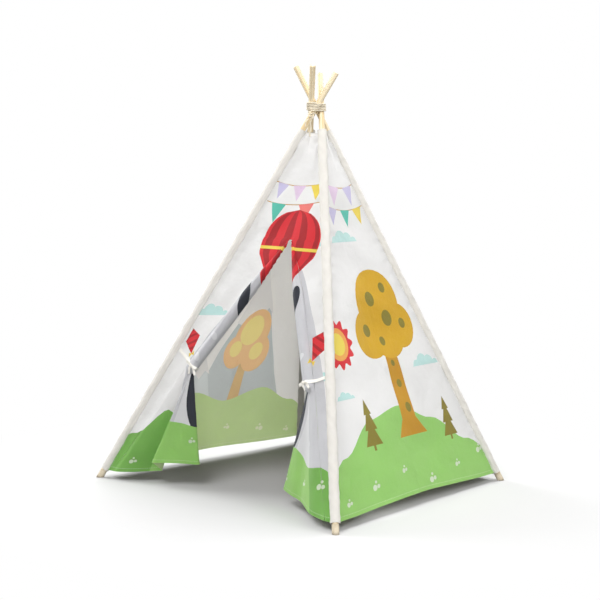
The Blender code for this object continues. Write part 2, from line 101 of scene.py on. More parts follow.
def rounding(size: float, wide: float, high: float) -> list[Place]:
    """Return a profile's rounded edge, from its top down to its side."""
    turns = np.linspace(0, HALF_TURN / 2, 5)
    return [(wide - size * (1 - math.sin(a)), high - size * (1 - math.cos(a))) for a in turns]


def at_runs(line: np.ndarray, at: np.ndarray) -> np.ndarray:
    """Return the points of a line at distances along it."""
    run = run_along(line)
    return np.stack([np.interp(at, run, column) for column in line.T], axis=-1)


def smoothed(points: np.ndarray, step: float) -> np.ndarray:
    """Return a smooth line through points, with its ends kept and an even step.

    Args:
        points: Points, as rows.
        step: Distance between the new points.

    Returns:
        The new points.
    """
    spots = np.asarray(points, float)
    padded = np.vstack((2 * spots[0] - spots[1], spots, 2 * spots[-1] - spots[-2]))
    t = np.linspace(0, 1, 13)[:-1, None]
    fine = []
    for a, b, c, d in zip(padded, padded[1:], padded[2:], padded[3:]):
        bend = (c - a) * t + (2 * a - 5 * b + 4 * c - d) * t**2 + (3 * b - a - 3 * c + d) * t**3
        fine.append(b + bend / 2)
    line = np.vstack((*fine, spots[-1]))
    length = run_along(line)[-1]
    return at_runs(line, np.linspace(0, length, max(2, round(length / step) + 1)))


def added(name: str, data: bpy.types.ID) -> Piece:
    """Return a new object in the scene.

    Args:
        name: Name of the object.
        data: Its mesh, light or camera.

    Returns:
        The object.
    """
    piece = bpy.data.objects.new(name, data)
    bpy.context.scene.collection.objects.link(piece)
    return piece


def linked(name: str, data: Mesh, finish: Material | None, body: str, *nodes: str) -> Piece:
    """Return a piece that rides on a CAD body and stands for CAD nodes.

    Args:
        name: Name of the piece.
        data: Its mesh.
        finish: Its material, where the mesh has none yet.
        body: The CAD body that carries it.
        *nodes: The CAD nodes.

    Returns:
        The new object.
    """
    if finish:
        data.materials.append(finish)
    piece = added(name, data)
    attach(piece, body)
    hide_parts(*nodes)
    log.info("%s: %d faces", piece.name, len(data.polygons))
    return piece


def lay_flat(data: Mesh, flat: np.ndarray) -> None:
    """Store one flat place in metres for each vertex, as the mesh's UV map.

    Args:
        data: The mesh.
        flat: The flat places, as rows of two.
    """
    corners = np.zeros(len(data.loops), int)
    data.loops.foreach_get("vertex_index", corners)
    layer = data.uv_layers.new(name="flat")
    layer.data.foreach_set("uv", flat.reshape(-1, 2)[corners].astype(np.float32).ravel())


def paint(data: Mesh, domain: str, colours: np.ndarray) -> None:
    """Store the ink of each point or corner as a colour attribute."""
    layer = data.color_attributes.new("ink", "FLOAT_COLOR", domain)
    layer.data.foreach_set("color", colours.ravel())


def meshed(name: str, spots: np.ndarray, faces: list) -> Mesh:
    """Return a smooth mesh of points and faces.

    Args:
        name: Name of the mesh.
        spots: Its points.
        faces: Point numbers of each face.

    Returns:
        The mesh.
    """
    data = bpy.data.meshes.new(name)
    data.from_pydata([tuple(p) for p in spots.reshape(-1, 3)], [], faces)
    data.shade_smooth()
    return data


def grid_mesh(name: str, spots: np.ndarray, ring: bool = False) -> Mesh:
    """Return a smooth mesh of four-sided faces.

    Args:
        name: Name of the mesh.
        spots: Points, as rows by columns by 3.
        ring: Whether the columns close into a ring.

    Returns:
        The mesh.
    """
    rows, columns = spots.shape[:2]
    faces = []
    for start in range(0, (rows - 1) * columns, columns):
        for c in range(columns if ring else columns - 1):
            after = (c + 1) % columns
            faces.append((start + c, start + after, start + columns + after, start + columns + c))
    return meshed(name, spots, faces)


def thickened(data: Mesh, thickness: float, **settings: object) -> Mesh:
    """Return a thin sheet's mesh as a closed one, grown to both sides.

    Args:
        data: The sheet.
        thickness: Thickness of the new mesh.
        **settings: More values of the modifier's settings.

    Returns:
        A new mesh.
    """
    holder = added("holder", data)
    change = holder.modifiers.new("change", "SOLIDIFY")
    for key, value in {"thickness": thickness, "offset": 0.0, **settings}.items():
        setattr(change, key, value)
    bpy.context.view_layer.update()
    graph = bpy.context.evaluated_depsgraph_get()
    made = bpy.data.meshes.new_from_object(holder.evaluated_get(graph), depsgraph=graph)
    bpy.data.objects.remove(holder, do_unlink=True)
    made.name = data.name
    made.set_sharp_from_angle(angle=SHARP)
    return made


def joined(name: str, parts: Sequence[Mesh]) -> Mesh:
    """Return several meshes as one.

    Args:
        name: Name of the new mesh.
        parts: The meshes.

    Returns:
        The new mesh.
    """
    work = bmesh.new()
    for part in parts:
        work.from_mesh(part)
    data = bpy.data.meshes.new(name)
    work.to_mesh(data)
    work.free()
    return data


# Finishes


class Nodes:
    """Nodes of a material or world, added and joined by short calls."""

    def __init__(self, owner: Material | bpy.types.World, shader: str) -> None:
        """Start with the owner's node tree and the named shader in it.

        Args:
            owner: The material or world.
            shader: Name of its shader node.
        """
        owner.use_nodes = True
        self.tree = owner.node_tree
        self.shader = self.tree.nodes[shader].inputs

    def give(self, socket: Socket, value: object) -> None:
        """Link a socket to another, or set its plain value.

        Args:
            socket: An input.
            value: An output to link, or a plain value.
        """
        if isinstance(value, Socket):
            self.tree.links.new(value, socket)
        else:
            socket.default_value = value

    def add(self, kind: str, inputs: dict, output: str | int = 0, **settings: object) -> Socket:
        """Add a node.

        Args:
            kind: Short name of the node's type.
            inputs: Values, or sockets to link, by input.
            output: Which output is returned.
            **settings: Values of the node's settings.

        Returns:
            The output.
        """
        node = self.tree.nodes.new(f"ShaderNode{kind}")
        for key, value in settings.items():
            setattr(node, key, value)
        for key, value in inputs.items():
            self.give(node.inputs[key], value)
        return node.outputs[output]

    def maths(self, way: str, *values: object) -> Socket:
        """Return a Math node's value."""
        return self.add("Math", dict(enumerate(values)), operation=way)

    def rays(self) -> tuple[Socket, Socket]:
        """Return whether a ray comes from the camera or a mirror, and whether it passes through.

        Returns:
            Both as 0 or 1.
        """
        rays = self.add("LightPath", {}).node.outputs
        seen = self.maths("MAXIMUM", rays["Is Camera Ray"], rays["Is Glossy Ray"])
        return seen, rays["Is Transmission Ray"]


class Surface(Nodes):
    """A material with one Principled shader."""

    def __init__(self, name: str, roughness: float, **values: object) -> None:
        """Start a material.

        Args:
            name: Name of the material.
            roughness: Even roughness of the surface.
            **values: Other plain values of the shader, with _ for each space of a name.
        """
        self.material = bpy.data.materials.new(name)
        super().__init__(self.material, "Principled BSDF")
        for key, value in {"Roughness": roughness, **values}.items():
            self.shader[key.replace("_", " ")].default_value = value

    def flat(self) -> Socket:
        """Return places on the flat cloth or along the grain, in metres."""
        return self.add("UVMap", {}, uv_map="flat")

    def place(self) -> Socket:
        """Return places on the object."""
        return self.add("TexCoord", {}, "Object")

    def ink(self) -> Socket:
        """Return the colour attribute."""
        return self.add("VertexColor", {}, layer_name="ink")

    def noise(self, place: Socket, scale: float, detail: float, **more: float) -> Socket:
        """Return a noise texture's value."""
        return self.add("TexNoise", {"Vector": place, "Scale": scale, "Detail": detail, **more}, "Fac")

    def woven(self, flat: Socket, thread: float) -> Socket:
        """Return the height of a plain weave, from 0 to 1, for the distance between threads.

        Args:
            flat: Places on the flat cloth.
            thread: Metres between threads.

        Returns:
            The height.
        """
        scale = HALF_TURN / 10 / thread
        inputs = {"Vector": flat, "Scale": scale, "Distortion": 0.4, "Detail Scale": 0.3}
        rows = [self.add("TexWave", inputs, "Fac", bands_direction=axis) for axis in ("X", "Y")]
        return self.maths("MULTIPLY", self.maths("ADD", *rows), 0.5)

    def ramp(self, source: Socket, low: float, dark: Point, high: float, pale: Point = WHITE) -> Socket:
        """Return a colour that goes from dark to pale between two values of the source.

        Args:
            source: The value.
            low: Value at the dark end.
            dark: Colour there.
            high: Value at the pale end.
            pale: Colour there.

        Returns:
            The colour.
        """
        colour = self.add("ValToRGB", {"Fac": source})
        for mark, at, tone in zip(colour.node.color_ramp.elements, (low, high), (dark, pale)):
            mark.position = at
            mark.color = (*tone, 1)
        return colour

    def mixed(self, share: object, low: object, high: object, way: str = "MIX") -> Socket:
        """Return two colours mixed or multiplied."""
        return self.add("Mix", {0: share, 6: low, 7: high}, 2, data_type="RGBA", blend_type=way)

    def colour(self, first: object, *tones: Socket) -> None:
        """Link the base colour: a colour multiplied by tones.

        Args:
            first: The first colour.
            *tones: What it is multiplied by.
        """
        for tone in tones:
            first = self.mixed(1.0, first, tone, "MULTIPLY")
        self.give(self.shader["Base Color"], first)

    def bump(self, height: Socket, strength: float) -> None:
        """Link a bump, given in metres, to the shader's normal."""
        bump = self.add("Bump", {"Height": height, "Distance": 1.0, "Strength": strength})
        self.give(self.shader["Normal"], bump)


@dataclass(frozen=True)
class Canvas:
    """Cotton canvas whose print is a colour attribute and whose weave follows the flat cloth."""

    name: str
    lining: Point | None = None
    fade: float = 0.0
    thread: float = 0.0011
    glow: float = 0.95
    glow_depth: float = 0.005
    crease: float = 0.006
    roughness: float = 0.9
    sheen: float = 0.08

    def build(self) -> Material:
        """Return the material of one side of the cloth, which lets some light through.

        Returns:
            The material.
        """
        kit = Surface(
            self.name, self.roughness, Sheen_Weight=self.sheen, Sheen_Roughness=0.5,
            Subsurface_Weight=self.glow, Subsurface_Radius=WHITE, Subsurface_Scale=self.glow_depth,
        )
        ink, flat = kit.ink(), kit.flat()
        if self.lining is not None:
            ink = kit.mixed(self.fade, ink, (*self.lining, 1))
        weave = kit.woven(flat, self.thread)
        tone = kit.ramp(kit.noise(flat, 7.0, 3.0), 0.3, (0.97, 0.97, 0.965), 0.7)
        kit.colour(ink, tone, kit.ramp(weave, 0.0, (0.95, 0.95, 0.945), 0.55))
        creases = kit.maths("MULTIPLY", kit.noise(flat, 16.0, 4.0, Roughness=0.55), self.crease)
        kit.bump(kit.maths("MULTIPLY_ADD", weave, self.thread / 8, creases), 0.7)
        return kit.material


@dataclass(frozen=True)
class Cloth:
    """Plain cloth of one colour: sleeves and ribbons."""

    name: str
    colour: Point
    thread: float = 0.0011
    roughness: float = 0.9
    shade: Point = (0.93, 0.925, 0.91)

    def build(self) -> Material:
        """Return the material.

        Returns:
            The material.
        """
        kit = Surface(self.name, self.roughness, Sheen_Weight=0.1, Sheen_Roughness=0.5)
        flat = kit.flat()
        weave, cloudy = kit.woven(flat, self.thread), kit.noise(flat, 22.0, 3.0)
        kit.colour((*self.colour, 1), kit.ramp(cloudy, 0.3, self.shade, 0.72))
        kit.bump(kit.maths("MULTIPLY_ADD", weave, self.thread / 6, kit.maths("MULTIPLY", cloudy, 0.004)), 0.7)
        return kit.material


@dataclass(frozen=True)
class Pine:
    """Planed pine: long grain and pores along the pole."""

    pale: Point = srgb("EFE1C2")
    warm: Point = srgb("D9C093")
    pore: Point = (0.86, 0.82, 0.74)

    def build(self) -> Material:
        """Return the material.

        Returns:
            The material.
        """
        kit = Surface("planed pine", 0.55)
        flat = kit.flat()
        scales = (70.0, 2.2, 1.0), (900.0, 12.0, 1.0)
        drawn, fine = (kit.add("Mapping", {"Vector": flat, "Scale": scale}) for scale in scales)
        pores = kit.noise(fine, 1.0, 2.0)
        grain = kit.ramp(kit.noise(drawn, 1.6, 4.0, Distortion=0.6), 0.36, self.warm, 0.56, self.pale)
        kit.colour(grain, kit.ramp(pores, 0.32, self.pore, 0.5))
        kit.bump(kit.maths("MULTIPLY", pores, 0.0004), 0.8)
        return kit.material


@dataclass(frozen=True)
class Moulded:
    """A plain moulded or drawn piece with a fine surface."""

    name: str
    pale: Point
    dark: Point
    roughness: float
    metallic: float = 0.0
    grain: float = 300.0

    def build(self) -> Material:
        """Return the material.

        Returns:
            The material.
        """
        kit = Surface(self.name, self.roughness, Metallic=self.metallic)
        place = kit.place()
        kit.colour(kit.ramp(kit.noise(place, self.grain / 8, 2.0), 0.35, self.dark, 0.65, self.pale))
        kit.bump(kit.maths("MULTIPLY", kit.noise(place, self.grain, 3.0), 0.0004), 0.6)
        return kit.material


@dataclass(frozen=True)
class Cord:
    """Twisted cotton cord: fibres over the strands that the mesh holds, with painted shade in the grooves
    between them.
    """

    pale: Point = srgb("EFE6D2")
    # Colour of the painted shade in the grooves between strands.
    dark: Point = srgb("B9A98B")
    shade: Point = (0.86, 0.84, 0.8)

    def build(self) -> Material:
        """Return the material.

        Returns:
            The material.
        """
        kit = Surface("cotton cord", 0.9, Sheen_Weight=0.15, Sheen_Roughness=0.5)
        fibre = kit.noise(kit.place(), 900.0, 3.0)
        # Painted shade: the grooves between strands, kept in the ink attribute, get the dark colour.
        strands = kit.mixed(kit.ink(), (*self.dark, 1), (*self.pale, 1))
        kit.colour(strands, kit.ramp(fibre, 0.3, self.shade, 0.62))
        kit.bump(kit.maths("MULTIPLY", fibre, 0.0008), 0.8)
        return kit.material


@dataclass(frozen=True)
class Finishes:
    """Every finish of the tent, built once."""

    print_side: Material
    lining: Material
    sleeve: Material
    ribbon: Material
    pine: Material
    alloy: Material
    foot: Material
    cord: Material

    @classmethod
    def build(cls) -> "Finishes":
        """Return the set of built materials.

        Returns:
            The set.
        """
        finishes = (
            Canvas("printed canvas"),
            Canvas("canvas inside", srgb("F9ECD4"), 0.34),
            Cloth("sleeve canvas", srgb("D8D5CF")),
            Cloth("cotton tape", srgb("F2EFE8"), 0.0007, 0.8),
            Pine(),
            Moulded("drawn ferrule", srgb("C4C6C8"), srgb("A8ABAE"), 0.35, 1.0),
            Moulded("end cap", srgb("D9CDB6"), srgb("BFB195"), 0.62),
            Cord(),
        )
        return cls(*(finish.build() for finish in finishes))


# Frame of the tent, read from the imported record


@dataclass
class PoleLine:
    """Where one pole stands, as the record's foot and hinge give it."""

    side: str
    foot: np.ndarray
    hinge: np.ndarray
    pivot: np.ndarray
    offset: float = 0.019
    slack: float = 0.0019
    up: np.ndarray = field(init=False)
    across: np.ndarray = field(init=False)

    def __post_init__(self) -> None:
        """Work out the pole's direction."""
        cross = self.pivot + self.offset * self.hinge
        self.up = unit(cross - self.foot)
        self.across = unit(np.cross(self.hinge, self.up))

    @property
    def body(self) -> str:
        """The CAD body of the pole."""
        return f"pole_{self.side}"

    def axis_at(self, height: np.ndarray) -> np.ndarray:
        """Return points of the pole's axis at given heights."""
        return self.foot + self.up * (np.asarray(height)[..., None] / self.up[2])

    def sleeve_at(self, height: np.ndarray) -> np.ndarray:
        """Return points of the sleeve's axis at given heights."""
        start = self.foot - self.across * self.slack
        return start + self.up * ((np.asarray(height)[..., None] - start[2]) / self.up[2])

    def placed(self, rows: np.ndarray, shift: float = 0.0) -> np.ndarray:
        """Return points given outwards, level and along the pole, from an axis moved inwards."""
        start = self.foot - self.across * shift
        return start + rows[..., :1] * self.across + rows[..., 1:2] * self.hinge + rows[..., 2:] * self.up


def pole_lines() -> dict[str, PoleLine]:
    """Return the four poles by side.

    Returns:
        Each pole by the name of its side.
    """
    record = frame["record"]
    feet = {mount["name"].removeprefix("rest_"): mount["pos_m"] for mount in record["mounts"]}
    lines = {}
    for joint in record["behaviour"]["joints"]:
        side = joint["name"].removeprefix("fold_")
        if side in feet:
            rows = feet[side], joint["axis"], joint["pos_m"]
            lines[side] = PoleLine(side, *(np.array(row, float) for row in rows))
    return lines


# The print, drawn on each wall's flat cloth in metres


class Ink(Enum):
    """Printing inks of the canvas, and a darker green used as painted shade."""

    GROUND = "F2F0EE"
    GRASS = "89BE60"
    # Painted shade: a darker green laid over the grass where the front wall's corners turn from the light.
    GRASS_PAINTED_SHADE = "6CA348"
    PEBBLE = "C4D4B6"
    RED = "CE1C26"
    DARK_RED = "9C0A14"
    YELLOW = "F1C94F"
    ORANGE = "EE9A4B"
    MUSTARD = "C8980A"
    MUSTARD_DARK = "B88406"
    OLIVE = "7C7016"
    TEAL = "B3DDD8"
    TEAL_DARK = "4FB3A0"
    LILAC = "BDB6DE"
    PINK = "E2C3E4"
    CORAL = "F0736C"
    GREY = "C4C4C9"
    GREY_LIGHT = "D8D8DC"
    NAVY = "1B1F2B"
    SLATE = "8FA4B4"
    SLATE_LIGHT = "AFC0CC"

    @property
    def colour(self) -> tuple[float, ...]:
        """The ink's linear colour, opaque."""
        return *srgb(self.value), 1.0


@dataclass(frozen=True)
class Shape:
    """One printed area: its outline on the flat cloth and its ink."""

    outline: np.ndarray
    ink: Ink

    def holds(self, spots: np.ndarray) -> np.ndarray:
        """Return which spots lie inside the outline.

        Args:
            spots: Flat places.

        Returns:
            True or false for each.
        """
        x, y = spots[:, 0], spots[:, 1]
        inside = np.zeros(len(spots), bool)
        for (ax, ay), (bx, by) in zip(self.outline, np.roll(self.outline, -1, axis=0)):
            crosses = (ay > y) != (by > y)
            rise = by - ay if by != ay else 1.0
            inside ^= crosses & (x < ax + (y - ay) * (bx - ax) / rise)
        return inside


def area(ink: Ink, corners: Sequence[Place], size: float = 1.0, at: Place = (0, 0)) -> Shape:
    """Return an area with given corners, scaled and then moved."""
    return Shape(np.array(corners, float) * size + at, ink)


def oval(middle: Place, radii: Place, ink: Ink, turn: float = 0.0, points: int = 28) -> Shape:
    """Return an oval area.

    Args:
        middle: Its middle.
        radii: Its half width and half height.
        ink: Its ink.
        turn: How far it leans, in radians.
        points: Points of its outline.

    Returns:
        The area.
    """
    angles = circle(points)
    x, y = radii[0] * np.cos(angles), radii[1] * np.sin(angles)
    c, s = math.cos(turn), math.sin(turn)
    return Shape(np.c_[middle[0] + x * c - y * s, middle[1] + x * s + y * c], ink)


def ovals(
    ink: Ink, rows: Sequence[Point], tall: float, at: Place = (0, 0), size: float = 1.0, turn: float = 0.3,
    points: int = 18,
) -> list[Shape]:
    """Return ovals of one ink.

    Args:
        ink: Their ink.
        rows: Place and radius of each.
        tall: How much taller than wide they are.
        at: Where the rows start.
        size: What the rows are scaled by.
        turn: How far each leans, in radians.
        points: Points of each outline.

    Returns:
        The ovals.
    """
    return [
        oval((at[0] + x * size, at[1] + y * size), (r * size, r * size * tall), ink, turn, points)
        for x, y, r in rows
    ]


def cloud(middle: Place, size: float) -> Shape:
    """Return a cloud with a flat foot and four rounded heaps.

    Args:
        middle: Middle of its foot.
        size: Its width.

    Returns:
        The area.
    """
    heaps = ((-0.62, 0.02, 0.24), (-0.2, 0.12, 0.36), (0.26, 0.06, 0.33), (0.7, 0.0, 0.2))
    x = np.linspace(-0.98, 0.98, 49)
    tops = [np.sqrt(np.maximum(r * r - (x - c) ** 2, 0)) + b * (abs(x - c) < r) for c, b, r in heaps]
    return area(Ink.TEAL, np.c_[x, np.maximum.reduce([*tops, 0.03 * (1 - x * x)])], size / 2, middle)


def peak(foot: Place, top: Place, end: Place, ink: Ink) -> Shape:
    """Return a mountain with gently rounded sides.

    Args:
        foot: Its left foot.
        top: Its top.
        end: Its right foot.
        ink: Its ink.

    Returns:
        The area.
    """
    a, b, c = (np.array(p, float) for p in (foot, top, end))
    t = np.linspace(0, 1, 12)[:, None]
    dip = np.array((0.0, -0.03)) * np.sin(HALF_TURN * t)
    return Shape(np.vstack((a + (b - a) * t + dip, (b + (c - b) * t + dip)[1:])), ink)


def snowy(foot: Place, top: Place, end: Place, ink: Ink) -> list[Shape]:
    """Return a mountain with a ragged cap of snow.

    Args:
        foot: Its left foot.
        top: Its top.
        end: Its right foot.
        ink: Its ink.

    Returns:
        The mountain and its cap.
    """
    a, b, c = (np.array(p, float) for p in (foot, top, end))
    left, right = b + (a - b) * 0.27, b + (c - b) * 0.30
    marks = ((0.2, 0.045), (0.38, -0.03), (0.56, 0.04), (0.76, -0.035))
    rag = [left + (right - left) * share + (0, rise * (b[1] - a[1])) for share, rise in marks]
    return [peak(foot, top, end, ink), area(Ink.GREY_LIGHT, (b, left, *rag, right))]


def fir(foot: Place, height: float, ink: Ink = Ink.NAVY) -> Shape:
    """Return a fir tree of three rounded tiers."""
    half = ((0.13, 0.70), (0.07, 0.70), (0.20, 0.40), (0.11, 0.40), (0.27, 0.10), (0.035, 0.10), (0.035, 0.0))
    return area(ink, [(0.0, 1.0), *half, *((-x, y) for x, y in reversed(half))], height, foot)


def bunting(start: Place, end: Place, drop: float, *inks: Ink) -> list[Shape]:
    """Return a hanging line of pennants.

    Args:
        start: Where the line starts.
        end: Where it ends.
        drop: How far its middle hangs.
        *inks: Inks of the pennants, in order.

    Returns:
        The line and its pennants.
    """
    a, b = np.array(start), np.array(end)

    def along(t: np.ndarray) -> np.ndarray:
        """Return points of the line."""
        t = np.asarray(t, float)[..., None]
        return a + (b - a) * t - np.array((0.0, drop)) * 4 * t * (1 - t)

    line, thick = along(np.linspace(0, 1, 25)), np.array((0.0, 0.0016))
    shapes = [area(Ink.MUSTARD_DARK, (*(line + thick), *(line[::-1] - thick)))]
    length = float(np.linalg.norm(b - a))
    half = min(0.034, length / len(inks) * 0.36) / length
    for number, ink in enumerate(inks):
        middle = (number + 0.5) / len(inks)
        left, right = along(middle - half), along(middle + half)
        way = right - left
        shapes.append(area(ink, (left, right, (left + right) / 2 + np.array((way[1], -way[0])) * 1.12)))
    return shapes


def balloon(middle: Place, size: float) -> list[Shape]:
    """Return a round balloon with curved gores, ropes and a basket.

    Args:
        middle: Middle of its envelope.
        size: Radius of its envelope.

    Returns:
        Its areas, from back to front.
    """
    mouth, taper = -0.35, 0.93
    y = 1 - 2.28 * np.linspace(0, 1, 26)
    low = np.sqrt(1 - mouth**2)
    skirt = low - (low - 0.2) * (np.maximum(mouth - y, 0) / taper) ** 0.92
    wide = np.where(y > mouth, np.sqrt(np.maximum(1 - y * y, 0)), skirt)

    def gore(left: float, right: float, ink: Ink, rows: slice = slice(None)) -> Shape:
        """Return the part of the envelope between two shares of its width."""
        a, b = (np.c_[wide[rows] * share, y[rows]] for share in (left, right))
        return area(ink, (*a, *b[::-1]), size, middle)

    shapes = [gore(-1, 1, Ink.RED)]
    for left, right in ((-0.86, -0.6), (-0.3, -0.02), (0.28, 0.54), (0.82, 0.96)):
        shapes.append(gore(left, right, Ink.DARK_RED))
    shapes.append(gore(-1, 1, Ink.YELLOW, slice(12, 14)))
    foot = np.array(middle) + np.array((0.0, mouth - taper)) * size
    for side in (-1, 1):
        top, end = foot + (side * 0.18 * size, 0), foot + (side * 0.13 * size, -0.5 * size)
        shapes.append(area(Ink.MUSTARD_DARK, (top, end, end + (0.004, 0), top + (0.004, 0))))
    basket = ((-0.2, -0.5), (0.2, -0.5), (0.15, -0.86), (-0.15, -0.86))
    return [*shapes, area(Ink.MUSTARD, basket, size, foot)]


def round_tree(foot: Place, height: float) -> list[Shape]:
    """Return a tree with a rounded crown and dotted trunk.

    Args:
        foot: Where its trunk stands.
        height: Its height.

    Returns:
        Its areas, from back to front.
    """
    trunk = ((-0.12, 0), (-0.06, 0.1), (-0.045, 0.66), (0.045, 0.66), (0.075, 0.1), (0.16, 0))
    crown = ((-0.13, 0.60, 0.15), (0.15, 0.63, 0.14), (0.0, 0.78, 0.2), (0.02, 0.6, 0.16))
    dots = (
        (-0.15, 0.62, 0.034), (-0.06, 0.8, 0.04), (0.08, 0.86, 0.028), (0.06, 0.68, 0.044),
        (0.19, 0.64, 0.028), (-0.03, 0.55, 0.024), (0.012, 0.3, 0.022), (0.03, 0.16, 0.026),
        (0.0, 0.42, 0.017),
    )
    return [
        area(Ink.MUSTARD_DARK, trunk, height, foot),
        *ovals(Ink.MUSTARD, crown, 0.96, foot, height, 0.0, 28),
        *ovals(Ink.OLIVE, dots, 1.12, foot, height, 0.3, 16),
    ]


def sun(middle: Place, size: float, rays: int = 12) -> list[Shape]:
    """Return a sun of three rings with wavy rays.

    Args:
        middle: Its middle.
        size: Its radius.
        rays: How many rays it has.

    Returns:
        Its areas, from back to front.
    """
    angles = circle(rays * 8)
    reach = size * (1 + 0.13 * np.cos(angles * rays))
    inner = size * 0.72
    return [
        area(Ink.RED, np.c_[np.cos(angles), np.sin(angles)] * reach[:, None], 1.0, middle),
        oval(middle, (inner, inner), Ink.ORANGE),
        oval(middle, (inner * 0.68, inner * 0.68), Ink.YELLOW),
    ]


def kite(middle: Place, size: float, turn: float) -> list[Shape]:
    """Return a striped kite with a bow on its tail.

    Args:
        middle: Its middle.
        size: Half its width.
        turn: How far it leans, in radians.

    Returns:
        Its areas, from back to front.
    """
    c, s = math.cos(turn), math.sin(turn)
    lean = np.array(((c, s), (-s, c))) * size
    bands = (
        ((0, 1.1), (0.25, 0.825), (-0.25, 0.825)),
        ((-0.6, 0.44), (0.6, 0.44), (0.82, 0.2), (-0.82, 0.2)),
        ((-0.82, -0.3), (0.82, -0.3), (0.67, -0.56), (-0.67, -0.56)),
        ((-0.45, -0.94), (0.45, -0.94), (0.3, -1.19), (-0.3, -1.19)),
    )
    bow = ((0, -1.7), (0.34, -1.5), (0.34, -2.0), (0, -1.78), (-0.34, -2.0), (-0.34, -1.5))
    parts = [(((0, 1.1), (1, 0), (0, -1.7), (-1, 0)), Ink.RED), *((band, Ink.DARK_RED) for band in bands)]
    return [area(ink, np.array(line, float) @ lean, 1.0, middle) for line, ink in (*parts, (bow, Ink.YELLOW))]


def meadow(half: float, *tops: float) -> list[Shape]:
    """Return rolling grass along a hem, with pebbles.

    Args:
        half: Half of the wall's width at the hem.
        *tops: Heights of the grass at even steps.

    Returns:
        The printed areas.
    """
    xs = np.linspace(-half * 1.05, half * 1.05, len(tops))
    x = np.linspace(xs[0], xs[-1], 40)
    part = np.clip(np.searchsorted(xs, x) - 1, 0, len(xs) - 2)
    step = np.array(tops)[part + 1] - np.array(tops)[part]
    y = np.array(tops)[part] + step * smooth((x - xs[part]) / (xs[part + 1] - xs[part]))
    shapes = [area(Ink.GRASS, (*np.c_[x, y], (xs[-1], -0.05), (xs[0], -0.05)))]
    group = ((0.0, 0.0, 1.0), (1.7, 0.25, 0.7), (0.9, 1.5, 0.5))
    for number, share in enumerate((-0.78, -0.47, -0.12, 0.17, 0.5, 0.8)):
        place = half * share, 0.045 + 0.03 * ((number * 7) % 3)
        shapes += ovals(Ink.PEBBLE, group, 0.8, place, 0.010 + 0.003 * (number % 2), 0.4, 12)
    return shapes


def painted_shade_corners(grass: Shape) -> list[Shape]:
    """Return painted shade: darker grass in both corners of the front wall, up to the flaps' first folds,
    where the cloth turns from the light.

    Args:
        grass: The wall's grass.

    Returns:
        Both corners.
    """
    x, y = grass.outline.T
    # Painted shade: grass left of a line near the left fold and right of one near the right fold is drawn
    # darker.
    left, right = np.minimum(x, 0.44 * y - 0.38), np.maximum(x, 0.43 - 0.4 * y)
    return [Shape(np.c_[side, y], Ink.GRASS_PAINTED_SHADE) for side in (left, right)]


def front_print() -> list[Shape]:
    """Return the print of the front wall and its flaps, with painted shade on the grass in both corners.

    Returns:
        Its areas, from back to front.
    """
    crag = (
        (0.052, 0.985), (-0.120, 0.716), (-0.284, 0.452), (-0.250, 0.400), (-0.218, 0.330), (-0.195, 0.240),
        (-0.190, 0.050), (0.600, 0.030), (0.480, 0.240), (0.374, 0.455), (0.210, 0.735),
    )
    boulders = (
        (-0.21, 0.49, 0.016), (-0.15, 0.58, 0.014), (-0.02, 0.66, 0.013), (0.16, 0.62, 0.018),
        (0.225, 0.545, 0.015), (0.275, 0.45, 0.017), (-0.24, 0.42, 0.013), (-0.155, 0.36, 0.018),
        (-0.165, 0.28, 0.014), (0.25, 0.28, 0.016), (0.33, 0.24, 0.014), (0.18, 0.22, 0.015),
    )
    grass, *stones = meadow(0.58, 0.13, 0.16, 0.27, 0.19, 0.17, 0.19, 0.15, 0.17, 0.12)
    return [
        cloud((-0.235, 0.652), 0.2),
        cloud((0.15, 0.96), 0.12),
        cloud((0.375, 0.47), 0.13),
        area(Ink.GREY, crag),
        peak((-0.20, 0.05), (-0.07, 0.52), (0.06, 0.05), Ink.GREY_LIGHT),
        peak((0.10, 0.05), (0.24, 0.46), (0.44, 0.05), Ink.GREY_LIGHT),
        *ovals(Ink.GREY_LIGHT, boulders, 0.8),
        oval((-0.01, 0.30), (0.075, 0.17), Ink.NAVY),
        oval((0.10, 0.33), (0.06, 0.15), Ink.NAVY),
        oval((-0.052, 0.735), (0.024, 0.062), Ink.NAVY),
        oval((0.124, 0.735), (0.024, 0.062), Ink.NAVY),
        grass,
        # Painted shade on the grass in both corners
        *painted_shade_corners(grass),
        *stones,
        *kite((-0.300, 0.555), 0.040, 0.35),
        *kite((0.300, 0.600), 0.045, -0.25),
        *bunting((-0.10, 1.205), (0.13, 1.205), 0.016, Ink.LILAC, Ink.PINK, Ink.YELLOW),
        *bunting((-0.12, 1.125), (0.13, 1.13), 0.014, Ink.TEAL_DARK, Ink.CORAL),
        *balloon((0.045, 0.96), 0.135),
    ]


def right_print() -> list[Shape]:
    """Return the print of the right wall.

    Returns:
        Its areas, from back to front.
    """
    return [
        cloud((-0.06, 0.975), 0.19),
        cloud((0.255, 0.47), 0.19),
        cloud((-0.30, 0.40), 0.12),
        *meadow(0.56, 0.06, 0.2, 0.31, 0.34, 0.27, 0.16, 0.05),
        *round_tree((0.05, 0.22), 0.66),
        *sun((-0.27, 0.60), 0.085),
        fir((0.30, 0.17), 0.17, Ink.OLIVE),
        fir((-0.20, 0.2), 0.19, Ink.OLIVE),
        *bunting((-0.10, 1.205), (0.09, 1.20), 0.016, Ink.PINK, Ink.LILAC),
        *bunting((-0.13, 1.12), (0.12, 1.115), 0.02, Ink.LILAC, Ink.TEAL_DARK, Ink.YELLOW),
    ]


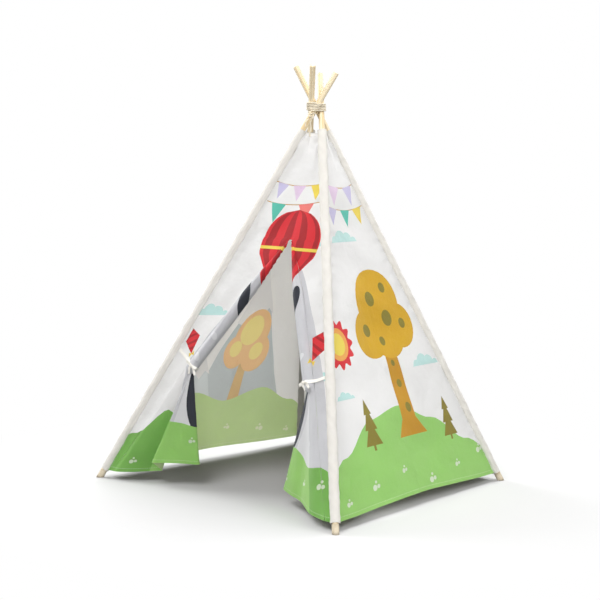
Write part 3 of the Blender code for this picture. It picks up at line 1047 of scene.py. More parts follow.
def back_print() -> list[Shape]:
    """Return the print of the back wall.

    Returns:
        Its areas, from back to front.
    """
    return [
        cloud((0.2, 0.92), 0.19),
        cloud((-0.24, 0.72), 0.16),
        *snowy((-0.52, 0.05), (-0.2, 0.64), (0.12, 0.05), Ink.SLATE_LIGHT),
        *snowy((-0.12, 0.05), (0.16, 0.78), (0.5, 0.05), Ink.SLATE),
        *meadow(0.53, 0.1, 0.24, 0.3, 0.22, 0.28, 0.2, 0.1),
        fir((-0.24, 0.2), 0.26),
        fir((0.27, 0.19), 0.27),
        fir((0.16, 0.22), 0.19, Ink.OLIVE),
        *bunting((-0.10, 1.20), (0.10, 1.205), 0.016, Ink.YELLOW, Ink.CORAL),
        *bunting((-0.13, 1.11), (0.13, 1.12), 0.02, Ink.LILAC, Ink.TEAL_DARK, Ink.PINK),
    ]


def left_print() -> list[Shape]:
    """Return the print of the left wall.

    Returns:
        Its areas, from back to front.
    """
    return [
        cloud((-0.18, 0.98), 0.18),
        cloud((0.25, 0.82), 0.16),
        *snowy((-0.40, 0.05), (-0.02, 0.84), (0.30, 0.05), Ink.SLATE),
        *snowy((-0.02, 0.05), (0.2, 0.5), (0.46, 0.05), Ink.SLATE_LIGHT),
        area(Ink.MUSTARD_DARK, ((-0.075, 0.2), (-0.005, 0.2), (-0.022, 0.5), (-0.056, 0.5))),
        oval((-0.09, 0.45), (0.075, 0.085), Ink.ORANGE),
        oval((0.02, 0.47), (0.070, 0.080), Ink.ORANGE),
        oval((-0.04, 0.55), (0.095, 0.105), Ink.ORANGE),
        oval((-0.03, 0.56), (0.060, 0.068), Ink.YELLOW),
        oval((-0.09, 0.46), (0.036, 0.040), Ink.YELLOW),
        oval((0.03, 0.48), (0.032, 0.036), Ink.YELLOW),
        *meadow(0.56, 0.08, 0.2, 0.28, 0.24, 0.3, 0.18, 0.08),
        *bunting((-0.10, 1.205), (0.10, 1.20), 0.016, Ink.TEAL_DARK, Ink.PINK),
        *bunting((-0.13, 1.115), (0.13, 1.11), 0.02, Ink.YELLOW, Ink.CORAL, Ink.LILAC),
    ]


# Printed cloth


def dashes(ink: Ink, line: np.ndarray) -> list[Shape]:
    """Return a row of stitches along a line of flat points, one small area for each.

    Args:
        ink: Colour of the thread.
        line: Points of the line.

    Returns:
        The stitches.
    """
    pitch, share, wide = 0.009, 0.62, 0.0012
    starts = np.arange(pitch / 2, run_along(line)[-1] - pitch, pitch)
    a, b = at_runs(line, starts), at_runs(line, starts + pitch * share)
    way = unit(b - a)
    beside = np.c_[-way[:, 1], way[:, 0]] * wide / 2
    return [area(ink, (p + n, q + n, q - n, p - n)) for p, q, n in zip(a, b, beside)]


def ring_points(outline: np.ndarray, step: float) -> np.ndarray:
    """Return a closed outline with points no further apart than a step.

    Args:
        outline: Corners of the outline.
        step: The step.

    Returns:
        The points.
    """
    spots = []
    for a, b in zip(outline, np.roll(outline, -1, axis=0)):
        count = max(1, math.ceil(float(np.linalg.norm(b - a)) / step))
        spots += [a + (b - a) * k / count for k in range(count)]
    return np.array(spots)


def cut_size(outline: np.ndarray) -> Place:
    """Return the width and length of the smallest rectangle that a cut comes from.

    Args:
        outline: Outline of the cut.

    Returns:
        Its width and length.
    """
    best = (math.inf, 0.0)
    for turn in np.radians(np.arange(0, 180, 2)):
        c, s = np.cos(turn), np.sin(turn)
        sizes = np.ptp(outline @ np.array(((c, -s), (s, c))), axis=0)
        if sizes.prod() < best[0] * best[1] or best[0] == math.inf:
            best = (float(sizes.min()), float(sizes.max()))
    return best


def area_of(outline: np.ndarray) -> float:
    """Return the area inside a flat outline."""
    x, y = outline.T
    return float(abs(np.dot(x, np.roll(y, -1)) - np.dot(y, np.roll(x, -1))) / 2)


@dataclass
class PrintedCloth:
    """A sheet of canvas, cut flat, printed and then placed in the tent."""

    name: str
    outline: np.ndarray
    shapes: list[Shape]
    place: Mapping
    step: float = 0.015
    thickness: float = 0.001
    row_gap: float = 0.87
    edge_room: float = 0.45
    least_area: float = 1e-10

    def mesh(self, finishes: Finishes) -> Mesh:
        """Return the cloth's closed thin mesh, printed outside and lined inside.

        Args:
            finishes: The tent's materials.

        Returns:
            The mesh.
        """
        flat, triangles = self.cut()
        data = meshed(self.name, self.place(flat), triangles.tolist())
        middles = flat[triangles].mean(axis=1)
        inks = np.tile(np.array(Ink.GROUND.colour), (len(triangles), 1))
        for shape in self.shapes:
            low, high = shape.outline.min(axis=0), shape.outline.max(axis=0)
            near = np.where(((middles >= low) & (middles <= high)).all(axis=1))[0]
            inks[near[shape.holds(middles[near])]] = shape.ink.colour
        paint(data, "CORNER", np.repeat(inks, 3, axis=0))
        lay_flat(data, flat)
        for finish in (finishes.print_side, finishes.lining):
            data.materials.append(finish)
        return thickened(data, self.thickness, material_offset=1)

    def cut(self) -> tuple[np.ndarray, np.ndarray]:
        """Return the flat points and triangles, which follow every printed edge.

        Returns:
            The points, and three point numbers for each triangle.
        """
        edge = ring_points(self.outline, self.step)
        bound = Shape(edge, Ink.GROUND)
        low, high = edge.min(axis=0), edge.max(axis=0)
        groups = [edge]
        for number, y in enumerate(np.arange(low[1] + self.step / 2, high[1], self.step * self.row_gap)):
            x = np.arange(low[0] + self.step * (0.25 + 0.5 * (number % 2)), high[0], self.step)
            row = np.c_[x, np.full(len(x), y)]
            row = row[bound.holds(row)]
            if len(row):
                away = np.linalg.norm(row[:, None] - edge[None], axis=2).min(axis=1)
                groups.append(row[away > self.step * self.edge_room])
        loops = [np.arange(len(edge))]
        for shape in self.shapes:
            if (shape.outline.max(axis=0) > low).all() and (shape.outline.min(axis=0) < high).all():
                dense = ring_points(shape.outline, self.step)
                loops.append(np.arange(len(dense)) + sum(map(len, groups)))
                groups.append(dense)
        edges = [(int(i), int(j)) for loop in loops for i, j in zip(loop, np.roll(loop, -1))]
        result = delaunay_2d_cdt([Vector(p) for p in np.vstack(groups)], edges, [], 0, TINY, False)
        flat, triangles = np.array([tuple(p) for p in result[0]]), np.array(result[2])
        corners = flat[triangles]
        turned = np.cross(corners[:, 1] - corners[:, 0], corners[:, 2] - corners[:, 0])
        triangles = np.where((turned < 0)[:, None], triangles[:, ::-1], triangles)
        kept = triangles[bound.holds(corners.mean(axis=1)) & (np.abs(turned) > self.least_area)]
        used = np.unique(kept)
        return flat[used], np.searchsorted(used, kept)


def creased(flat: np.ndarray, seed: float, fine: float = 1.0) -> np.ndarray:
    """Return the height of soft, irregular creases over flat cloth.

    Args:
        flat: Flat places.
        seed: A number that sets this cloth's creases apart.
        fine: How much closer together they lie than usual.

    Returns:
        Heights from about -1 to 1.
    """
    x, y = flat[:, 0] * fine, flat[:, 1] * fine
    height = np.zeros(len(flat))
    waves = (11, 5, 0.9), (-7, 14, 0.8), (19, -9, 0.5), (4, 27, 0.45), (-31, 12, 0.28), (23, 33, 0.22)
    for number, (a, b, tall) in enumerate(waves):
        bend = 0.7 * np.sin(3.1 * y - 2.3 * x + seed * (number + 1))
        height += tall * np.sin(a * x + b * y + bend + seed * (1.7 + number))
    return height / 2.2


def puckers(flat: np.ndarray, away: np.ndarray, seed: float) -> np.ndarray:
    """Return the height in metres of small puckers beside a sewn seam.

    Args:
        flat: Flat places.
        away: Distances from the seam.
        seed: A number that sets this seam's puckers apart.

    Returns:
        One height for each place.
    """
    run, height, fade, start = flat[:, 1], 0.0026, 0.035, 0.008
    lie = 120 * run + 40 * away + 2.4 * np.sin(19 * run + seed)
    tall = height * np.sin(lie) * (0.6 + 0.4 * np.sin(7 * run + seed))
    return tall * np.exp(-away / fade) * smooth(away / start)


@dataclass
class Panel:
    """One wall of the tent between two poles, measured on the flat cloth."""

    name: str
    left: PoleLine
    right: PoleLine
    hem_height: float = 0.031
    hem_lift: float = 0.012
    cloth_top: float = 1.340
    seam_off: float = 0.0152
    sag: float = 0.010
    keep: float = 0.270
    lean: float = 0.029
    split: float = 0.0001
    seam_line: float = 0.0045
    hem_line: float = 0.014
    pucker_height: float = 0.007
    pucker_start: float = 0.86
    pucker_waves: float = 150.0
    anchor_height: float = 0.7
    slope: float = field(init=False)

    def __post_init__(self) -> None:
        """Work out how much longer the cloth is than it is high."""
        low, high = (self.middle(np.array([z]))[0] for z in (self.hem_height, self.cloth_top))
        self.slope = float(np.linalg.norm(high - low)) / (self.cloth_top - self.hem_height)

    def poles(self, side: int) -> tuple[PoleLine, PoleLine]:
        """Return the pole on one side, -1 left or 1 right, and then the other pole."""
        return (self.left, self.right) if side < 0 else (self.right, self.left)

    def seam(self, side: int, height: np.ndarray) -> np.ndarray:
        """Return where the cloth meets the sleeve on one side.

        Args:
            side: Which pole, -1 left or 1 right.
            height: Heights.

        Returns:
            One point for each height.
        """
        pole, other = self.poles(side)
        spot = pole.sleeve_at(height)
        way = unit(other.sleeve_at(height) - spot)
        return spot + way * (self.seam_off / np.sqrt(1 - (way @ pole.up) ** 2))[..., None]

    def middle(self, height: np.ndarray) -> np.ndarray:
        """Return the points halfway between the two seams."""
        return (self.seam(-1, height) + self.seam(1, height)) / 2

    def half_width(self, height: np.ndarray) -> np.ndarray:
        """Return half the distance between the two seams."""
        return np.linalg.norm(self.seam(1, height) - self.seam(-1, height), axis=-1) / 2

    def height_of(self, run: np.ndarray) -> np.ndarray:
        """Return the heights of places a run up the cloth."""
        return self.hem_height + run / self.slope

    def run_of(self, height: np.ndarray) -> np.ndarray:
        """Return how far up the cloth heights are."""
        return (height - self.hem_height) * self.slope

    def hem(self, across: np.ndarray) -> np.ndarray:
        """Return how far the hem is lifted, by the share of the way to the middle."""
        return self.hem_lift * self.slope * np.sin(HALF_TURN / 2 * across) ** 2

    def top_puckers(self, flat: np.ndarray, seed: float) -> np.ndarray:
        """Return the height of the puckers near the top, where the cover is drawn together.

        Args:
            flat: Flat places.
            seed: Where the waves start.

        Returns:
            One height for each.
        """
        rise = np.clip(flat[:, 1] / self.run_of(self.cloth_top), 0, 1)
        near = smooth((rise - self.pucker_start) / (1 - self.pucker_start))
        return self.pucker_height * np.sin(flat[:, 0] * self.pucker_waves + seed) * near

    def seams(self, side: int, heights: np.ndarray, hem: np.ndarray) -> list[Shape]:
        """Return the stitches beside one sleeve, above a line of the hem and below the top.

        Args:
            side: Which sleeve, -1 left or 1 right.
            heights: Heights to follow the sleeve at.
            hem: Points of the hem.

        Returns:
            The stitches.
        """
        _, high, top = self.ends(side)
        beside = np.c_[side * (self.half_width(heights) - self.seam_line), self.run_of(heights)]
        edge = np.array(((0, top), (high, top))) - (0, self.hem_line)
        hem = hem + (0, self.hem_line)
        return dashes(Ink.GREY, beside) + dashes(Ink.PEBBLE, hem) + dashes(Ink.GREY, edge)

    def ends(self, side: int) -> tuple[float, float, float]:
        """Return where one side's hem and top end across the flat cloth, and how far up the top is."""
        low, high = side * self.half_width(np.array((self.hem_height, self.cloth_top)))
        return low, high, self.run_of(self.cloth_top)

    @property
    def outward(self) -> np.ndarray:
        """The level direction away from the tent."""
        return unit((self.left.foot + self.right.foot) * (1, 1, 0))

    def gather(self, piece: Piece, side: int) -> None:
        """Give a piece its own copy of its mesh; nothing makes it gather towards the pole on its side as the
        frame folds.

        The poles cross in a ring, so that each folds a little to one side of the next. A way towards the
        pole, tilted by the lean that would bring the two halves of the wall together there, and a point on
        the pole are worked out but not used.

        Args:
            piece: The piece.
            side: Which pole, -1 left or 1 right.
        """
        pole, other = self.poles(side)
        way = other.foot - pole.foot
        way = unit(way - pole.up * (way @ pole.up))
        out = self.outward - pole.up * (self.outward @ pole.up)
        out = unit(out - way * (out @ way))
        way = unit(way - out * self.lean * side)
        anchor = tuple(pole.axis_at(np.array(self.anchor_height)))
        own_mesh(piece)

    def hang(
        self, cloth: PrintedCloth, finishes: Finishes, side: int, node: str, body: str, held: str, rest: str,
        size: Place, flat_area: float,
    ) -> None:
        """Args:
            cloth: The cloth.
            finishes: The tent's materials.
            side: Which pole's side it is on, -1 left or 1 right.
            node: The CAD node that it stands for.
            body: The CAD body that carries it.
            held: How it is held; not used.
            rest: What it rests on; not used.
            size: Its flat width and length.
            flat_area: Its flat area; not used.
        """
        piece = linked(cloth.name, cloth.mesh(finishes), None, body, node)
        self.gather(piece, side)
        log.info("%s: %.0f by %.0f mm flat", piece.name, size[0] * 1000, size[1] * 1000)


@dataclass
class ClosedWall:
    """A side or back wall: two halves of one cloth, each sewn to its own pole."""

    panel: Panel
    shapes: list[Shape]
    seed: float
    crease: float = 0.009

    def hem(self, side: int, count: int) -> np.ndarray:
        """Return the hem's line of one half, from its sleeve to the middle."""
        across = np.linspace(0, 1, count)
        return np.c_[self.panel.ends(side)[0] * (1 - across), self.panel.hem(across)]

    def outline(self, side: int) -> np.ndarray:
        """Return the flat outline of the half on one side, -1 left or 1 right.

        Args:
            side: Which half.

        Returns:
            Its corners.
        """
        _, high, top = self.panel.ends(side)
        hem = self.hem(side, 24)
        hem[-1, 0] = side * self.panel.split
        points = np.vstack((hem, ((side * self.panel.split, top), (high, top))))
        return points if side < 0 else points[::-1]

    def place(self, side: int, flat: np.ndarray) -> np.ndarray:
        """Return where flat places of one half stand.

        Args:
            side: Which half.
            flat: Flat places.

        Returns:
            One point for each.
        """
        panel = self.panel
        height = panel.height_of(flat[:, 1])
        half = panel.half_width(height)
        u = 1 - np.abs(flat[:, 0]) / half
        v = np.clip((height - panel.hem_height) / (panel.cloth_top - panel.hem_height), 0, 1)
        near = panel.seam(side, height)
        slack, arch = np.sin(HALF_TURN / 2 * np.clip(u, 0, 1)), np.sin(HALF_TURN * v)
        sag = panel.sag * slack * arch**0.8
        rough = self.crease * creased(flat, self.seed) * slack**0.7 * (0.35 + 0.65 * arch**0.5)
        rough += panel.top_puckers(flat, self.seed) + puckers(flat, u * half, self.seed)
        return near + (panel.middle(height) - near) * u[:, None] - panel.outward * (sag - rough)[:, None]

    def build(self, finishes: Finishes) -> None:
        """Make both halves.

        Args:
            finishes: The tent's materials.
        """
        panel = self.panel
        heights = np.linspace(panel.hem_height, panel.cloth_top, 12)
        for side in (-1, 1):
            pole, _ = panel.poles(side)
            front, back = pole.side.split("_")
            node = f"{panel.name}_wall_{back if panel.name == 'back' else front}"
            printed = self.shapes + panel.seams(side, heights, self.hem(side, 16))
            cloth = PrintedCloth(f"cloth_{node}", self.outline(side), printed, partial(self.place, side))
            wide, tall = np.ptp(cloth.outline, axis=0)
            flat_area = float((wide + abs(panel.ends(side)[1])) / 2 * tall)
            rest = f"sleeve_{pole.side}"
            panel.hang(cloth, finishes, side, node, pole.body, "stretched", rest, (wide, tall), flat_area)


@dataclass
class Door:
    """One side of the door: its fold line, its tied-back roll and the fan below the tie."""

    panel: Panel
    sign: int
    hem: Sequence[Point]
    slit_x: float = 0.052
    slit_height: float = 0.944
    inset: float = 0.030
    roll_radius: float = 0.021
    roll_start: float = 0.0057
    tie_share: float = 0.535
    lag: float = 0.014
    roll_full: float = 0.24
    pleats: int = 3
    waist: float = 0.052
    waist_end: float = 0.05
    strip_gap: float = 0.0012
    crease: float = 0.007
    calm: float = 0.085
    pull: float = 0.16
    pull_height: float = 0.005
    mouth: float = 0.1
    ruffle: float = 0.0018
    sway: float = 0.004
    hem_step: float = 0.003

    def __post_init__(self) -> None:
        """Work out the fold line and the directions beside it."""
        self.pole, self.other = self.panel.poles(self.sign)
        a, b = (pole.axis_at(np.array(self.slit_height)) for pole in (self.pole, self.other))
        self.top = np.array((self.slit_x + self.sign * self.roll_start, (a[1] + b[1]) / 2, self.slit_height))
        corner = self.panel.seam(self.sign, np.array(self.panel.hem_height))
        self.low = corner - (self.sign * self.inset, 0, 0)
        self.tie = self.top + (self.low - self.top) * self.tie_share
        line = unit(self.low - self.top)
        normal = unit(np.cross(unit(b - a), line))
        self.normal = normal if normal[1] < 0 else -normal
        across = unit(np.cross(line, self.normal))
        self.across = across if across[0] * self.sign < 0 else -across

    def share_of(self, height: np.ndarray) -> np.ndarray:
        """Return how far down the fold line heights are."""
        return (self.top[2] - height) / (self.top[2] - self.low[2])

    def fold_x(self, share: np.ndarray) -> np.ndarray:
        """Return the fold line's place across the flat cloth."""
        return self.top[0] + (self.low[0] - self.top[0]) * share

    def fold_point(self, share: np.ndarray) -> np.ndarray:
        """Return points of the fold line."""
        return self.top + (self.low - self.top) * share[:, None]

    def fall(self, share: np.ndarray) -> np.ndarray:
        """Return how far down the fan shares of the fold line are."""
        start = self.tie_share + self.lag
        return np.clip((share - start) / (1 - start), 0, 1)

    def held_roll(self, fall: np.ndarray) -> np.ndarray:
        """Return how much of the roll is left at shares of the way down the fan."""
        return 1 - smooth(fall * 3) * fall

    def roll(self, share: np.ndarray) -> np.ndarray:
        """Return the roll's radius at shares of the fold line."""
        return self.roll_start + (self.roll_radius - self.roll_start) * smooth(share / self.roll_full)

    def near_tie(self, share: np.ndarray, reach: float) -> np.ndarray:
        """Return how near the tie shares of the fold line are, from 0 to 1."""
        return np.exp(-((share - self.tie_share) / reach) ** 2)

    def hem_at(self, u: np.ndarray) -> np.ndarray:
        """Return places of the flap's folded hem at shares of its width."""
        route = smoothed(np.vstack((self.low, self.hem)), self.hem_step)
        return at_runs(route, u * run_along(route)[-1])

    def strip(self, flat: np.ndarray) -> np.ndarray:
        """Return where flat places of the half front wall stand.

        Args:
            flat: Flat places.

        Returns:
            One point for each.
        """
        panel = self.panel
        height = panel.height_of(flat[:, 1])
        share = self.share_of(height)
        gable, held = share < 0, np.clip(share, 0, 1)
        near, fold, fall = panel.seam(self.sign, height), self.fold_point(held), self.fall(held)
        room = np.linalg.norm(fold - near, axis=1) / 2
        clear = np.minimum(self.roll(held), room) * self.held_roll(fall)
        edge = fold - self.across * (clear * smooth(held / self.mouth) + self.strip_gap)[:, None]
        above = panel.middle(height)
        rise = np.clip(-share, 0, None) * (self.top[2] - self.low[2]) / (panel.cloth_top - self.slit_height)
        above[:, 0] += self.slit_x * (1 - rise) + self.sign * panel.split
        edge = np.where(gable[:, None], above, edge)
        seam_x = self.sign * panel.half_width(height)
        u = (flat[:, 0] - seam_x) / (np.where(gable, self.slit_x * (1 - rise), self.fold_x(held)) - seam_x)
        slack = np.sin(HALF_TURN * np.clip(u, 0, 1)) ** 0.8 + 0.25 * smooth(u)
        width = np.linalg.norm(edge - near, axis=1)
        pull = self.pull_height * np.sin(flat[:, 0] * 55 * self.sign + share * 9)
        pull = pull * self.near_tie(share, self.pull)
        calm = 1 - self.near_tie(share, self.calm)
        rough = self.crease * creased(flat, 2.1 + self.sign, 1.4) * np.minimum(1, width / 0.12)
        rough = (rough + pull * np.minimum(1, width / 0.1)) * slack * calm
        rough += puckers(flat, u * width, 3.0 + self.sign) * calm + panel.top_puckers(flat, 1.0)
        return near + (edge - near) * u[:, None] + panel.outward * rough[:, None]

    def flap(self, flat: np.ndarray) -> np.ndarray:
        """Return where flat places of the tied-back flap hang.

        Args:
            flat: Flat places.

        Returns:
            One point for each.
        """
        share = np.clip(self.share_of(self.panel.height_of(flat[:, 1])), 0, 1)
        fold_x, base = self.fold_x(share), self.fold_point(share)
        roll, fall = self.roll(share), self.fall(share)
        width = self.slit_x - fold_x
        u = np.clip((flat[:, 0] - fold_x) / np.where(np.abs(width) > TINY, width, 1), 0, 1)
        side, deep = self.bundle(u, share)
        tied = base + self.across * (roll * side)[:, None] + self.normal * (roll * deep)[:, None]
        hem = self.hem_at(u)
        fan = self.ray(hem, fall)
        start = base - self.across * (roll * self.held_roll(fall))[:, None]
        fan = fan + (start - self.ray(self.low, fall)) * (1 - smooth(u / 0.12))[:, None]
        spot = tied + (fan - tied) * smooth(fall / self.waist_end)[:, None]
        ruffle = self.ruffle * creased(flat, 5.0 + self.sign, 2.0) * (0.3 + fall)
        sway = self.sway * np.sin(HALF_TURN * fall) * np.sin(3 * HALF_TURN * u + self.sign)
        sway = sway * smooth(u / 0.1)
        return spot + unit(self.normal * (1, 1, 0)) * (ruffle + sway)[:, None]

    def ray(self, end: np.ndarray, fall: np.ndarray) -> np.ndarray:
        """Return the fan's places between the waist and an end of the hem.

        Args:
            end: Ends of the rays.
            fall: How far down each place is.

        Returns:
            The places.
        """
        waist = self.fold_point(np.array((self.tie_share + self.lag,)))
        waist = waist + (end - self.hem_at(np.array((0.5,)))) * self.waist
        return waist + (end - waist) * fall[:, None]

    def bundle(self, u: np.ndarray, share: np.ndarray) -> tuple[np.ndarray, np.ndarray]:
        """Return places in the tied bundle, in roll radii across and outwards.

        Args:
            u: Shares of the flap's width from the fold line.
            share: Shares of the fold line.

        Returns:
            Places across the bundle, and places outwards.
        """
        width = np.abs(self.slit_x - self.fold_x(share))
        cover = np.clip(HALF_TURN * self.roll(share) / np.maximum(width, TINY), 0.15, 0.7)
        turn = HALF_TURN * (1 - u / cover)
        w = np.clip((u - cover) / (1 - cover), 0, 1)
        inner_side = 1 - 1.75 * w + 0.05 * np.sin(9 * w)
        arch = np.sqrt(np.maximum(0, 1 - inner_side**2)) + 0.03
        inner_deep = arch * (-0.22 - 0.62 * np.sin(TURN * self.pleats * w))
        dent = 1 - 0.1 * np.sin(turn * 2.2 + share * 14) ** 2
        over = u < cover
        return np.where(over, np.cos(turn), inner_side), np.where(over, np.sin(turn) * dent, inner_deep)


@dataclass
class FrontWall:
    """The front wall: two strips, and two flaps tied back at the door."""

    panel: Panel
    doors: tuple[Door, Door]
    shapes: list[Shape]
    flap_step: float = 0.0065
    flap_thickness: float = 0.0009
    edge_line: float = 0.008
    edge_stop: float = 0.16

    def build(self, finishes: Finishes) -> None:
        """Make the strips and the flaps.

        Args:
            finishes: The tent's materials.
        """
        panel = self.panel
        slit, heights = panel.run_of(self.doors[0].slit_height), np.array((panel.hem_height, panel.cloth_top))
        for door, word in zip(self.doors, ("left", "right")):
            low, high, top = panel.ends(door.sign)
            fold, mouth = ((door.low[0], 0), (door.top[0], slit)), (door.slit_x, slit)
            beside = door.slit_x + door.sign * self.edge_line
            printed = self.shapes + panel.seams(door.sign, heights, np.array(((low, 0), (door.slit_x, 0))))
            printed += dashes(Ink.GREY, np.array(((beside, 0), (beside, slit - self.edge_stop))))
            outline = np.array(((low, 0), *fold, mouth, (0, top), (high, top)))
            strip = PrintedCloth(f"cloth_front_{word}", outline, printed, door.strip)
            outline = np.array((fold[0], (door.slit_x, 0), mouth, fold[1]))
            flap = PrintedCloth(
                f"cloth_flap_{word}", outline, printed, door.flap, self.flap_step, self.flap_thickness
            )
            for cloth, node, body, held, rest in (
                (strip, f"front_wall_{word}", door.pole.body, "stretched", f"sleeve_{door.pole.side}"),
                (flap, f"{word}_flap", f"flap_{word}", "gathered", f"{word}_ribbon"),
            ):
                size, flat_area = cut_size(cloth.outline), area_of(cloth.outline)
                panel.hang(cloth, finishes, door.sign, node, body, held, rest, size, flat_area)


# Poles, feet and sleeves


@dataclass
class JointedPole:
    """A pole of three sections, with its foot and the sleeve that the cover hangs on."""

    line: PoleLine
    number: int
    length: float = 1.800
    radius: float = 0.011
    section_gap: float = 0.0006
    end_round: float = 0.0032
    foot_gap: float = 0.0003
    foot_wall: float = 0.0019
    foot_height: float = 0.034
    foot_floor: float = 0.0105
    foot_reach: float = 0.012
    foot_round: float = 0.0022
    groove: float = 0.0004
    groove_start: float = 0.008
    groove_step: float = 0.0035
    grooves: int = 6
    sides: int = 40
    end_grain: float = 0.3
    sleeve_start: float = 0.037
    sleeve_top: float = 1.352
    sleeve_wide: float = 0.0172
    sleeve_deep: float = 0.0150
    sleeve_thick: float = 0.001
    sleeve_rows: int = 300
    sleeve_sides: int = 28
    swell: float = 0.034

    def build(self, finishes: Finishes) -> None:
        """Make the sections, the foot and the sleeve, and dress the ferrules.

        Args:
            finishes: The tent's materials.
        """
        for number, word in enumerate(("lower", "middle", "upper")):
            self.section(number, word, finishes.pine)
        self.foot(finishes.foot)
        self.sleeve(finishes.sleeve)
        for word in ("lower", "upper"):
            for slot in frame["nodes"][f"ferrule_{self.line.side}_{word}"].material_slots:
                slot.material = finishes.alloy

    def turned(self, name: str, profile: Sequence[Place], phase: float = 0.0) -> Mesh:
        """Return a piece turned on the pole's axis, with flat coordinates along its grain.

        Args:
            name: Name of the mesh.
            profile: Radii and distances along the pole, from the top down.
            phase: Where its grain starts.

        Returns:
            The mesh.
        """
        angles = circle(self.sides)
        rows, flat = [], []
        for r, z in profile:
            rows.append([(r * math.cos(a), r * math.sin(a), z) for a in angles])
            flat.append([(phase + a * self.radius, z + (self.radius - r) * self.end_grain) for a in angles])
        data = grid_mesh(name, self.line.placed(np.array(rows)), ring=True)
        lay_flat(data, np.array(flat))
        return data

    def section(self, number: int, word: str, finish: Material) -> None:
        """Make one pine section, counted from the foot.

        Args:
            number: 0, 1 or 2 from the foot.
            word: Its name.
            finish: Its material.
        """
        step, last, gap = self.length / 3, number == 2, self.section_gap
        low = number * step + gap / 2 if number else self.foot_floor + gap
        high = (number + 1) * step - (0 if last else gap / 2)
        bevel = self.end_round if last else gap
        profile = [(0.0, high), (self.radius * 0.6, high), *rounding(bevel, self.radius, high)]
        profile += [(self.radius, z) for z in np.linspace(high - bevel - 0.002, low + gap, 9)]
        profile += [(self.radius, low), (0.0, low)]
        data = self.turned(f"rod_{self.line.side}_{word}", profile, self.number * 1.37 + number * 0.31)
        linked(data.name, data, finish, self.line.body, f"pole_{self.line.side}_{word}")

    def foot(self, finish: Material) -> None:
        """Make the cap that the pole stands in, flat on the floor.

        Args:
            finish: Its material.
        """
        line, floor, high, low = self.line, self.foot_floor, self.foot_height, -self.foot_reach
        inner, outer = self.radius + self.foot_gap, self.radius + self.foot_wall
        profile = [(0.0, floor), (inner, floor), (inner, high), *rounding(self.foot_round, outer, high)]
        for k in reversed(range(self.grooves)):
            profile.append((outer - self.groove * (k % 2), self.groove_start + self.groove_step * k))
        data = self.turned(f"cap_{line.side}", [*profile, (outer, low), (0.0, low)])
        for vert in data.vertices:
            if vert.co.z < 0:
                vert.co += Vector(line.up) * (-vert.co.z / line.up[2])
        linked(data.name, data, finish, line.body, f"foot_{line.side}")

    def sleeve(self, finish: Material) -> None:
        """Make the sleeve: a flat-lying tube of cloth with puckers and a turned hem.

        Args:
            finish: Its material.
        """
        line, start, seed = self.line, self.sleeve_start, self.number * 2.3
        end = self.sleeve_top / line.up[2]
        along = np.linspace(start, end, self.sleeve_rows)[:, None]
        angle = circle(self.sleeve_sides)[None, :]
        waves = (1, 61, 2, seed), (0.7, 137, -3, seed * 2), (0.6, 29, 1, seed), (0.5, 233, 5, 0)
        bumps = sum(tall * np.sin(along * a + b * angle + c) for tall, a, b, c in waves)
        upper, lower = 0.03, 0.02
        pulled = smooth((along - end + upper) / upper) + smooth((start + lower - along) / lower)
        swell = 1 + self.swell * bumps * (1 + 0.8 * pulled) - 0.03 * pulled
        wide, deep = self.sleeve_wide * swell * np.cos(angle), self.sleeve_deep * swell * np.sin(angle)
        rows = np.stack(np.broadcast_arrays(deep, wide, along), axis=-1)
        data = grid_mesh(f"cloth_sleeve_{line.side}", line.placed(rows, line.slack), ring=True)
        lay_flat(data, np.stack(np.broadcast_arrays(angle * self.sleeve_deep, along), axis=-1))
        data = thickened(data, self.sleeve_thick)
        piece = linked(data.name, data, finish, line.body, f"sleeve_{line.side}")


# Ribbons that tie the flaps back


